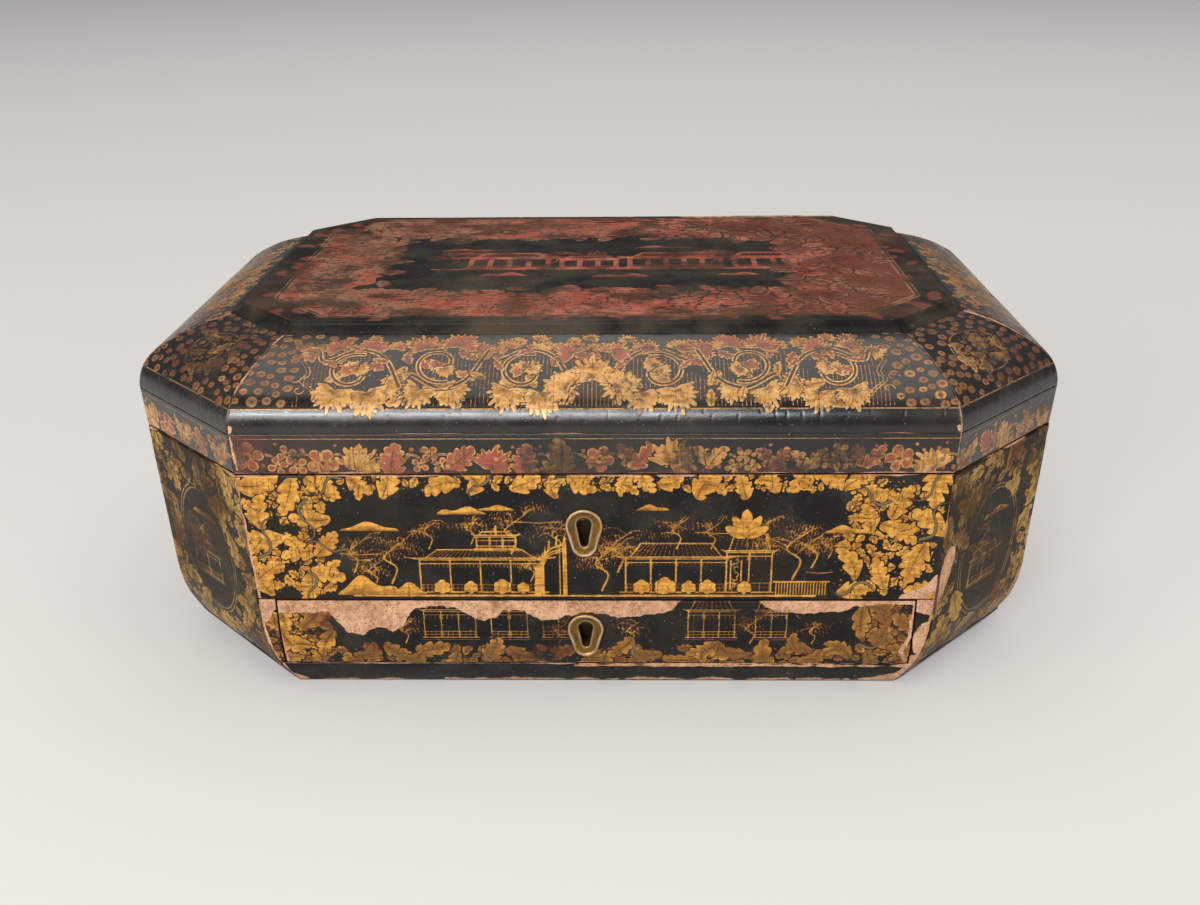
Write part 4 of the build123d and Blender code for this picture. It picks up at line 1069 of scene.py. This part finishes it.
def paintBand(sheet, seed):
    # the lid's band: a thin line above a row of flowers and leaves joined by arcs
    rng, uniform = sheet.rng, sheet.uniform
    far = np.abs(sheet.u).max()
    sheet.stroke([(-far, 14.4), (far, 14.4)], 0.35, gold=0.8, rub=0.25)
    at = -far + 6
    while at < far - 4:
        size, kind = uniform(5.6, 7.4), rng.integers(0, 5)
        v, tone = uniform(4.6, 7.2), float(rng.choice((0.04, 0.1, 0.15, 0.97)))
        arc = spiral((at + size * 0.9, 0.5), 8.5, 7.0, pi * 0.9, pi * 0.12, 14)
        sheet.stroke(arc, 0.9, gold=0.85, gap=0.3)
        sheet.stroke(arc, 0.3, "vein")
        if kind == 0 and tone < 0.5:
            blossom(sheet, (at, v), size * 0.9, 5, tone)
        elif kind < 2:
            plume(sheet, (at, v - 3), size * 1.7, uniform(0.5, pi - 0.5), tone)
        elif kind == 2:
            sheet.leaf((at, v), size * 1.15, uniform(0.3, pi - 0.3), tone, 0.7, 4, rim=0.3)
        elif kind == 3:
            for side, lift in ((-1, 0), (1, 0), (0, 4.6)):
                blossom(sheet, (at + side * 3.6, v - 2 + lift), size * 0.56, 4, tone)
        else:
            for side, turn in ((-1, 2.2), (1, 0.9)):
                sheet.leaf((at + side * 2.4, v), size * 0.9, turn, tone, 0.6, 3, rim=0.3)
        at += size * uniform(1.7, 2.3)
    for u, v, size in scatter(rng, (-far, far, 2, 13), (0.9, 1.5), int(far)):
        sheet.disc((u, v), size * 0.6, gold=0.3 + uniform(-0.3, 0.6), ragged=0.3, shade=0.3)
    uprightCracks(sheet, (-far, far, 0, 16), 14, (0.5, 1.0), seed, 0.28)
    blushGround(sheet, 0.7, 9, seed + 2, np.clip((3.0 - sheet.v) / 2.5, 0, 1))
    rubAll(sheet, 0.0, 0.4, 24, seed + 3)
    wearEdges(sheet, (1.4, 1.4, 0.9, 0.0), seed + 4)
    if far > 100:
        blushGround(sheet, 0.5, 20, seed + 5, np.clip((-sheet.u - 70) / 30, 0, 1))
        bareAlong(sheet, ([(-131.6, 15), (-131, 9), (-130.4, 2)], 1.6, 0.8, seed + 6),
                  ([(-6, 0), (30, -0.3), (62, 0.1), (100, -0.4)], 0.6, 0.8, seed + 7))


def paintCanted(sheet, seed, torn=()):
    # a cut corner of the case: leaf borders down both edges about a faint oval view
    high = sheet.v.max()
    willow(sheet, -6, high * 0.42, 22)
    pavilion(sheet, -12, high * 0.36, 20, 16, 2)
    isle(sheet, 2, high * 0.68, 9, 2.4, shade=0.3)
    for grow in (0, 1.6):
        oval(sheet, 50, high * 0.5, 19 + grow, 27 + grow, 0.4, 0.95, 0.2)
    vine(sheet, (-36, 36, 1, high - 2), (4.2, 6.2), 900, gold=0.95, shade=0.15, stems=0.2,
         allowed=lambda s: np.hypot(s[0] / 23, (s[1] - high * 0.5) / 31) > 1)
    rubAll(sheet, 0.0, 0.45, 22, seed)
    uprightCracks(sheet, (-35, 35, 0, high), 20, (0.4, 1.0), seed + 2, 0.26)
    wearEdges(sheet, (2.0, 2.0, 2.6, 1.2), seed + 3)
    bareAlong(sheet, *((points, width, min(1.6, width * 0.45), seed + 5) for points, width in torn))


def paintWide(sheet, seed):
    # a side or the back of the case: a leaf border all round and a garden by the water
    far, high = np.abs(sheet.u).max(), sheet.v.max()
    reach = far - 14
    sheet.stroke([(-reach + 6, 14), (reach - 6, 14)], 0.8, gold=0.95, ragged=0.2, shade=0.2)
    for left in np.arange(-reach + 12, reach - 30, 62):
        willow(sheet, left + 42, 16, 27)
        willow(sheet, left - 4, 15, 22)
        pavilion(sheet, left, 15.6, 34, 30, 4, upper=True)
        isle(sheet, left + 50, 52, 9, 2.6)
        isle(sheet, left + 46, 15, 10, 5)
    for box in ((-far, -reach, 2, high - 2), (reach, far, 2, high - 2), (-reach, reach, high - 9, high - 2),
                (-reach, reach, 1, 9)):
        vine(sheet, box, (4.2, 6.2), 500, gold=0.95, shade=0.15, stems=0.2)
    rubAll(sheet, 0.0, 0.45, 34, seed)
    uprightCracks(sheet, (-far, far, 0, high), 32, (0.4, 1.0), seed + 2, 0.28)
    wearEdges(sheet, (1.6, 1.6, 1.2, 0.9), seed + 3)


# The lid's panel: its height, reaches from the middle and how deep its corners are cut
seat = shoulderProfile(2)[1][-1]
coveRun, coveHeight = form["coveRun"], form["coveHeight"]
coveRadius = (coveRun**2 + coveHeight**2) / (2 * coveHeight)
inset, panelTop = form["shoulderRun"] + coveRun, seat + coveHeight
acrossHalf, deepHalf = form["halfWidth"] - inset, form["halfDepth"] - inset
diagonal = (form["cornerReach"] - inset) * sqrt(2)


def rimGap(u, v):
    # distance inwards from the edge of the leafy field, 14 mm inside the ends and cut corners and 8 mm inside
    # the front and the back
    corner = (diagonal - np.abs(u) - np.abs(v - deepHalf)) / sqrt(2)
    ends = np.minimum(acrossHalf - np.abs(u), corner) - 14
    return np.minimum(ends, np.minimum(v - 7.5, 2 * deepHalf - 8 - v))


def fieldGap(u, v):
    # distance outwards from the dark field in the middle
    return np.maximum(np.abs(u + 5) - 88, np.abs(v - 84) - 44)


def paintPanel(sheet):
    # a wide field of worn red leaves with thin double lines about it, and a dark field with pavilions
    u, v, uniform = sheet.u, sheet.v, sheet.uniform
    rim = rimGap(u, v)
    broken = 16 * (grain(u * 0.6, v, 22, 71, 2) - 0.5) + 14 * (grain(u * 0.45, v, 6, 72, 4) - 0.5)
    field = fieldGap(u, v) + broken
    worn = grain(u * 0.35, v, 6, 75, 4)
    pinker = (0.05 + 0.3 * grain(u * 0.6, v, 14, 74) + 0.3 * np.clip((-u - 40) / 50, 0, 1)
              + 0.15 * np.clip((v - 90) / 60, 0, 1))
    sheet.lay(..., np.maximum(-rim - 1, -field), "motif", pinker,
              shade=worn - 0.5 + 0.7 * np.clip((u - 50) / 50, 0, 1))

    def within(spot):
        return rimGap(*spot[:2]) > 3 and fieldGap(*spot[:2]) > -4
    for at, deep, size in scatter(sheet.rng, (-132, 132, 6, 160), (4.0, 6.5), 1500, within):
        share = 0.05 + uniform(0, 0.3) + 0.3 * (at < -60)
        sheet.leaf((at, deep), size * 1.25, uniform(0, tau), share, 0.62, 4, rim=0.3,
                   shade=uniform(-0.3, 0.4) + 0.5 * (at > 60), gap=0.7 + 0.4 * (at > 20))
    for at, deep, size in scatter(sheet.rng, (-137, 137, 2, 166), (2.0, 3.4), 900, lambda s: not within(s)):
        if fieldGap(at, deep) > 6 and sheet.rng.random() < 0.4:
            sheet.leaf((at, deep), size * 1.5, uniform(0, tau), 0.5, 0.6, 3, shade=uniform(1.0, 1.5))
    for away in (0.6, 2.4):
        sheet.lay(..., np.abs(rim + away) - 0.3, "motif", 0.95, shade=0.0)
    for left, width, bays, up in ((-56, 34, 4, False), (-16, 24, 3, True), (14, 40, 5, False),
                                  (60, 26, 3, False)):
        pavilion(sheet, left, 76, width, 26, bays, gold=0.2, upper=up, line=1.5)
    sheet.stroke([(-72, 74), (96, 74)], 1.4, gold=0.15, ragged=0.6)
    for at, size in ((-64, 22), (-20, 20), (50, 24), (88, 18)):
        willow(sheet, at, 84, size, gold=0.3)
    for land in ((-40, 64, 10, 5), (10, 62, 12, 5), (60, 64, 9, 4), (-60, 106, 12, 4), (30, 110, 14, 4)):
        isle(sheet, *land, gold=0.2, shade=0.2)
    rubAll(sheet, 0.0, 0.4, 11, 76)
    blushGround(sheet, 0.3, 30, 77, np.clip((field + 4) / 12, 0.05, 1))
    cracks(sheet, [[(-23, 62), (-21, 74), (-22, 86), (-20.5, 98)], [(-14, 8), (-13.4, 26)],
                   [(37, 4), (36.6, 30), (38, 46)]], 0.1, "bare")
    wearEdges(sheet, (1.0, 1.0, 0.3, 4.2), 78)
    back = 2 * deepHalf
    bareAlong(sheet, ([(42, back - 0.5), (78, back - 1.4), (116, back - 0.4)], 4.4, 2.0, 94))


def paintStileLeft(sheet):
    # dark foliage, bare above a torn edge and down the mitre
    vine(sheet, (-130, -123, 0, 24), (2.6, 3.8), 100, gold=0.95, shade=0.5, stems=0)
    bareAbove(sheet, [(-133, 20), (-128, 20.5), (-126, 22.5), (-124.5, 26), (-123, 27)], 0.9)
    bareAlong(sheet, ([(-129.8, 31), (-128.9, 20), (-127.2, 8), (-125.2, 0)], 1.5, 0.6, 82))


def paintStileRight(sheet):
    # hardly any lacquer left: a dark patch below the top and another near the foot
    bareAbove(sheet, [(123, 26), (127, 25), (131, 24)], 0.9)
    bareAlong(sheet, ([(127, 18), (126, 8)], 6.0, 2.4, 84), ([(124.5, 3), (125.5, -3)], 4.0, 1.6, 85),
              ([(129.7, 31), (127.6, 12), (125.2, 0)], 1.2, 0.8, 90))


def paintFootRail(sheet):
    # dark, with its corners and strips of its long edges bare
    bareAlong(sheet,
              ([(-125.5, 11), (-122.5, 4), (-117.5, 0.5)], 3.6, 1.2, 86),
              ([(125, 11), (119.5, 3.5), (110.5, 0.4)], 5.0, 1.4, 87),
              ([(-8, 10.7), (40, 11), (98, 10.6), (122, 10.6)], 1.3, 1.0, 88),
              ([(-60, 1.0), (-30, 0.4), (12, 1.2), (70, 0.6), (112, 1.4)], 2.2, 1.7, 93))
    wearEdges(sheet, (1, 1, 2.0, 0.9), 89)


# Dressing each board
def caseBoard(name, side, low, high, pitch, seed, paint, rounding, span=(None, None), hole=None,
              skin="caseFront"):
    # one board of the case, painted from one height to another
    heights = np.linspace(low, high, max(int((high - low) / pitch) + 1, 3))
    beside = [caseProfile(side + step, heights) for step in (-1, 1)]
    points, sheet = faceGrid(side, (caseProfile(side, heights), heights), pitch, seed, span, beside)
    paint(sheet)
    ladder = np.linspace(0, form["caseTop"], 400)
    onSkin = skinTest(side, (caseProfile(side, ladder), ladder))
    dressedBoard(name, [dressGrid(points, sheet, rounding, hole)], onSkin,
                 [materials[skin], materials["caseInside"]])


def lidBoard(name, side, profile, pitch, seed, paint, rounding):
    # one board of the lid on its profile
    points, sheet = faceGrid(side, profile, pitch, seed)
    paint(sheet)
    dressedBoard(name, [dressGrid(points, sheet, rounding)], skinTest(side, profile),
                 [materials["lidFront"], materials["lidInside"]])


def keyholeCut(height, radius=4.6, squash=0.72):
    # the part of a sheet that lies under a keyhole plate
    return lambda u, v: np.hypot(u - form["lockShift"], (v - height) * squash) < radius


rimTop = 94.9  # a little under the top of the case
caseBoard("case_front", 0, 42.3, rimTop, 0.4, 11, paintCaseFront, (0.5, 0.5, 0.3, 0.5), hole=keyholeCut(27.7))
print("case front painted")
foot, top, drawerHalf, stileLine = form["footRail"], form["openingTop"], 122.52, 123.02
caseBoard("drawer_front", 0, foot + 0.25, top - 0.5, 0.36, 12, paintDrawer, (0.4, 0.4, 0.4, 0.5),
          (-drawerHalf, drawerHalf), keyholeCut(13.95))
caseBoard("front_stile_left", 0, foot, top, 0.4, 13, paintStileLeft, (0.4, 0.3, 0.1, 0.1), (None, -stileLine))
caseBoard("front_stile_right", 0, foot, top, 0.4, 14, paintStileRight, (0.3, 0.4, 0.1, 0.1), (stileLine, None))
caseBoard("foot_rail", 0, 0.0, foot, 0.5, 15, paintFootRail, (0.4, 0.4, 0.6, 0.3))
print("drawer painted")
cornerTears = {  # torn lines of the two front corners, and their widths
    1: [([(-36.5, 32), (-32, 42), (-28.5, 53)], 7.5), ([(-37, 4), (-25, 0.6), (-8, -0.4)], 2.6),
        ([(4, 0), (22, 0.6), (30, 0)], 2.4), ([(29.5, 3), (30.6, 12), (32.2, 22)], 2.0),
        ([(33.4, 34), (33.8, 46)], 1.6)],
    7: [([(34.6, 78), (34.8, 50)], 0.8), ([(35.6, 30), (36.5, 12), (37, 0)], 1.2)],
}
for side in range(1, 8):
    painter, extra = (paintCanted, [cornerTears.get(side, ())]) if side % 2 else (paintWide, [])
    caseBoard("case_" + sideNames[side], side, 8.0, rimTop, {1: 0.5, 7: 0.5, 4: 0.8}.get(side, 0.7), 20 + side,
              lambda sheet: painter(sheet, 100 + 9 * side, *extra), (0.5, 0.5, 0.2, 0.5), skin="caseSides")
print("case sides painted")
for side, name in enumerate(sideNames):
    fine = {0: 0.35, 1: 0.5, 7: 0.5}.get(side, 0.7)
    lidBoard("lid_band_" + name, side, bandProfile(int(form["bandHeight"] / fine) + 1), fine, 40 + side,
             lambda sheet: paintBand(sheet, 200 + 9 * side), (0.4, 0.4, 0.4, 0.05))
    fine = {0: 0.4, 1: 0.5, 7: 0.5}.get(side, 0.8)
    painter, extra = (paintCantedShoulder, []) if side % 2 else (paintShoulder, [50 if side % 4 else 98])
    lidBoard("lid_shoulder_" + name, side, shoulderProfile(int(form["shoulderTravel"] / fine) + 1), fine,
             60 + side, lambda sheet: painter(sheet, 300 + 9 * side, *extra), (0.3, 0.3, 0.05, 0.2))
print("lid sides painted")

# The panel: its top is one grid squeezed into the octagon, and each cove a strip
deep = np.linspace(-deepHalf, deepHalf, 184)[:, None]
across = np.linspace(-1, 1, 430) * np.minimum(acrossHalf, diagonal - np.abs(deep))
deep = deep + 0 * across
sheet = Sheet(across, deep + deepHalf, 91)
corner = (diagonal - np.abs(deep) - np.abs(across)) / sqrt(2)
sheet.gaps = [np.minimum(acrossHalf + across, corner), np.minimum(acrossHalf - across, corner), deep + deepHalf,
              deepHalf - deep]
paintPanel(sheet)
panelPoints = np.stack([across, deep + form["middleY"], np.full(across.shape, panelTop)], -1)
panelGrids = [dressGrid(panelPoints, sheet, (0.5, 0.5, 0.5, 0.5))]
turn = np.linspace(0, acos(1 - coveHeight / coveRadius), 12)
cove = form["shoulderRun"] + coveRadius * np.sin(turn), seat + coveRadius * (1 - np.cos(turn))
for side in range(8):
    points, sheet = faceGrid(side, cove, 0.8, 92 + side)
    wearEdges(sheet, (0, 0, 0, 1.6 if side in (3, 4, 5) else 0), 401 + 5 * side)
    panelGrids.append(dressGrid(points, sheet, (0.2, 0.2, 0.1, 0.4)))


def panelSkin(points):
    # tells which points of the panel lie above its seat
    return points[:, 2] > seat - 0.02, np.broadcast_to([0.0, 0.0, 1.0], points.shape)


dressedBoard("lid_panel", panelGrids, panelSkin, [materials["panel"], materials["lidInside"]],
             least=-2)
print("panel painted")

# Keyhole plates: brass eggs dished towards the hole, with a raised rim. Outline and hole are eggs about two
# circles, given by the radii of the top and the foot one, the distance between them and how far they are lifted
plateForm = {"outline": (7.0, 4.8, 8.3, 0.0), "hole": (2.9, 1.5, 8.0, 0.7), "spokes": 96}
# Rings of a plate: share of the way from hole to outline, shift outwards, height over the wood, how rubbed
# bright (worn brass, and on the rim's crest also a painted highlight)
plateRings = np.array([
    (0, 0, -0.9, 0.4), (0, 0, 0.04, 1), (0, 0.18, 0.17, 0.7), (0.25, 0, 0.26, 0), (0.55, 0, 0.37, 0),
    (1, -1.55, 0.47, 0), (1, -1.3, 0.62, 0.1), (1, -1.1, 0.86, 0.7), (1, -0.75, 0.97, 1), (1, -0.35, 0.93, 0.9),
    (1, -0.08, 0.72, 0.4), (1, 0, 0.5, 0.1), (1, 0, -0.9, 0)])


def eggReach(angles, top, foot, spread, lift):
    # how far an egg reaches along each direction: the farthest of many circles between its top and its foot
    share = np.linspace(0, 1, 80)[:, None]
    radius, middle = top + (foot - top) * share, lift + spread * (0.5 - share)
    inside = radius**2 - (middle * np.cos(angles)) ** 2
    return np.where(inside > 0, middle * np.sin(angles) + np.sqrt(np.maximum(inside, 0)), 0).max(0)


def keyholePlate(name, height):
    # one plate, laid on the leaning front of the case
    plate, rings = plateForm, plateRings
    low, high = caseProfile(0, np.array([height - 0.05, height + 0.05]))
    up = unit(np.array([0, high - low, 0.1]))
    outward = np.cross([1.0, 0, 0], up)
    spokes = np.linspace(0, tau, plate["spokes"], endpoint=False)
    angles = spokes[:, None]
    hole, outline = (eggReach(spokes, *plate[part])[:, None] for part in ("hole", "outline"))
    reach = hole + (outline - hole) * rings[:, 0] + rings[:, 1]
    dents = 0.05 * (grain(angles * 9 + 0 * reach, reach * 2, 3.0, int(height)) - 0.5) * (rings[:, 2] > 0)
    centre = np.array([form["lockShift"], form["middleY"] - form["halfDepth"] + (low + high) / 2, height])
    across, along, over = reach * np.cos(angles), reach * np.sin(angles), rings[:, 2] + dents
    points = centre + across[..., None] * [1, 0, 0] + along[..., None] * up + over[..., None] * outward
    rows, columns = len(angles), len(rings)
    quads = gridFaces(rows + 1, columns + 1)
    row, column = quads // (columns + 1), quads % (columns + 1)
    share = np.stack([row / rows, column / columns], -1) * 0.98 + 0.01
    joined = row % rows * columns + column % columns
    # each ring's rub: worn brass at the hole, worn brass and a painted highlight on the rim's crest
    rubbed = np.broadcast_to(rings[:, 3:], (columns, 4))[None].repeat(rows, 0)
    thing = addMesh(name + "_dished", points.reshape(-1, 3), joined.ravel(), np.full(len(quads), 4),
                    np.zeros(len(quads)), np.ones(len(quads), bool), share.reshape(-1, 2), {"rubbed": rubbed},
                    [materials["brass"]])
    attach(thing, nodes[name]["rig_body"])
    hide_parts(name)


keyholePlate("lid_escutcheon", 70.0)
keyholePlate("drawer_escutcheon", 25.2)

# Slotted screws, their heads let in almost flush: x, y, z, way they face, radius and shifts in x, by the node
# that they hold
hingeShifts, lockShifts = (-12, 0, 12), (-19, 19)
screwSets = {
    "hinge_case_leaf_left": (-100, 121.3, form["caseTop"], 1, 1.9, hingeShifts),
    "hinge_case_leaf_right": (100, 121.3, form["caseTop"], 1, 1.9, hingeShifts),
    "hinge_lid_leaf_left": (-100, 121.3, form["lidBase"], -1, 1.9, hingeShifts),
    "hinge_lid_leaf_right": (100, 121.3, form["lidBase"], -1, 1.9, hingeShifts),
    "lid_link_plate": (form["lockShift"], -123.1, form["lidBase"], -1, 1.6, lockShifts),
    "lid_lock_case": (form["lockShift"], -122.3, form["caseTop"], 1, 1.6, lockShifts),
}
rows = np.array([-1, -0.9, -0.65, -0.35, -0.16, -0.15, 0.15, 0.16, 0.35, 0.65, 0.9, 1])[:, None]
along = np.linspace(-1, 1, 17) * np.sqrt(np.maximum(1 - rows**2, 1e-4))
headCrown, headSink, slotHeight, slotHalf, slotRow = 0.085, 0.015, 0.012, 0.155, 5
high = headCrown * (1 - np.hypot(along, rows) ** 8) - headSink
high = np.where(np.abs(rows) < slotHalf, np.minimum(high, slotHeight), high)
for name, (x, y, z, way, radius, shifts) in screwSets.items():
    parts, faces = [], []
    for k, shift in enumerate(shifts):
        turn = 0.4 + 1.3 * k + x * 0.01
        ahead, aside = heading(turn)
        flat = (along[..., None] * ahead + rows[..., None] * aside) * radius
        head = np.stack([x + shift + flat[..., 0], y + way * flat[..., 1], z + way * high], -1)
        parts.append(head.reshape(-1, 3))
        faces.append(gridFaces(*high.shape, first=k * high.size))
    faces = np.concatenate(faces)
    head, row, column = faces // high.size, faces % high.size // high.shape[1], faces % high.shape[1]
    # faces down in each slot take the near-black slot metal, a painted shade
    inSlot = row[:, 0] == slotRow
    share = np.stack([(head + column / high.shape[1]) / 3, row / high.shape[0]], -1)
    heads = addMesh(name + "_screws", np.concatenate(parts), faces.ravel(), np.full(len(faces), 4), inSlot,
                    ~inSlot, share.reshape(-1, 2) * 0.98 + 0.01, {}, [materials["brass"], materials["slot"]])
    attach(heads, nodes[name]["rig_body"])
print("plates and screws made")

# Plain looks of the solids that show as they are
slotMaterials = {"case_lacquer": "caseInside", "lid_lacquer": "lidInside", "tray_lacquer": "tray",
                 "inner_wood": "innerWood", "brass": "brass", "steel": "steel"}
# the lock cases take the darkened lock metal, a painted shade behind the keyholes
ownMaterials = {"bottom_board": "foot", "lid_lock_case": "lock", "drawer_lock_case": "lock"}
slotOf = {entry["node"]: entry["material_slot"] for entry in frame["record"]["subparts"]}
for name, thing in nodes.items():
    thing.data.materials.clear()
    thing.data.materials.append(materials[ownMaterials.get(name, slotMaterials[slotOf[name]])])

# Camera as in the photograph, plain floor and soft studio light
bpy.ops.mesh.primitive_plane_add(size=14, location=(0, 0, -0.0002))
floor = bpy.context.object
floor.name = "studio_floor"
floor.data.materials.append(finishMaterial("paleFloor", lambda tree, noise, between, blend: {
    "Base Color": blend(noise(3, 3) * 0.12, (0.45, 0.445, 0.43), (0.41, 0.40, 0.39)), "Roughness": 0.9,
    "Specular IOR Level": 0.0, "Emission Color": (0.66, 0.65, 0.64, 1), "Emission Strength": 0.35}))

view = {"place": (12.4, -545.0, 284.9), "pitch": 23.46, "heading": 1.32, "roll": -0.62, "sensor": 36.0,
        "focus": 1254.35 / 1200}
camera = bpy.data.objects.new("photo_camera", bpy.data.cameras.new("photo_camera"))
bpy.context.scene.collection.objects.link(camera)
camera.data.sensor_width = view["sensor"]
camera.data.lens = view["sensor"] * view["focus"]
camera.data.clip_start, camera.data.clip_end = 0.02, 50
camera.matrix_world = (Matrix.Translation(Vector(view["place"]) * mm)
                       @ Matrix.Rotation(radians(view["heading"]), 4, "Z")
                       @ Matrix.Rotation(radians(90 - view["pitch"]), 4, "X")
                       @ Matrix.Rotation(radians(view["roll"]), 4, "Z"))
bpy.context.scene.camera = camera

lamps = {  # place and aim in metres, size in metres, power in watts, colour
    "top_soft": ((0.2, 0.6, 3.4), (0, 0.3, 0.0), (4.5, 4.5), 100, (1.0, 0.96, 0.90)),
    "front_fill": ((-0.5, -1.7, 0.9), (0, 0, 0.05), (1.2, 0.7), 16, (1.0, 0.95, 0.87)),
    "left_fill": ((-1.7, -1.0, 0.6), (0, 0, 0.05), (0.9, 0.6), 15, (1.0, 0.92, 0.82)),
    "right_fill": ((1.7, -1.0, 0.6), (0, 0, 0.05), (0.9, 0.6), 12, (1.0, 0.94, 0.86)),
    "arris_strip": ((-0.35, -1.6, 0.85), (-0.05, 0, 0.12), (1.3, 0.14), 13, (0.86, 0.93, 1.0)),
}
for name, (place, aim, size, power, colour) in lamps.items():
    data = bpy.data.lights.new(name, "AREA")
    data.shape, data.size, data.size_y, data.energy, data.color = "RECTANGLE", size[0], size[1], power, colour
    lamp = bpy.data.objects.new(name, data)
    lamp.location = place
    lamp.rotation_euler = (Vector(aim) - Vector(place)).to_track_quat("-Z", "Y").to_euler()
    bpy.context.scene.collection.objects.link(lamp)
world = bpy.data.worlds.new("studio")
world.use_nodes = True
sky = world.node_tree.nodes["Background"]
sky.inputs["Color"].default_value, sky.inputs["Strength"].default_value = (0.60, 0.61, 0.62, 1), 0.3
bpy.context.scene.world = world
bpy.context.scene.view_settings.view_transform = "Standard"
print("stage set")
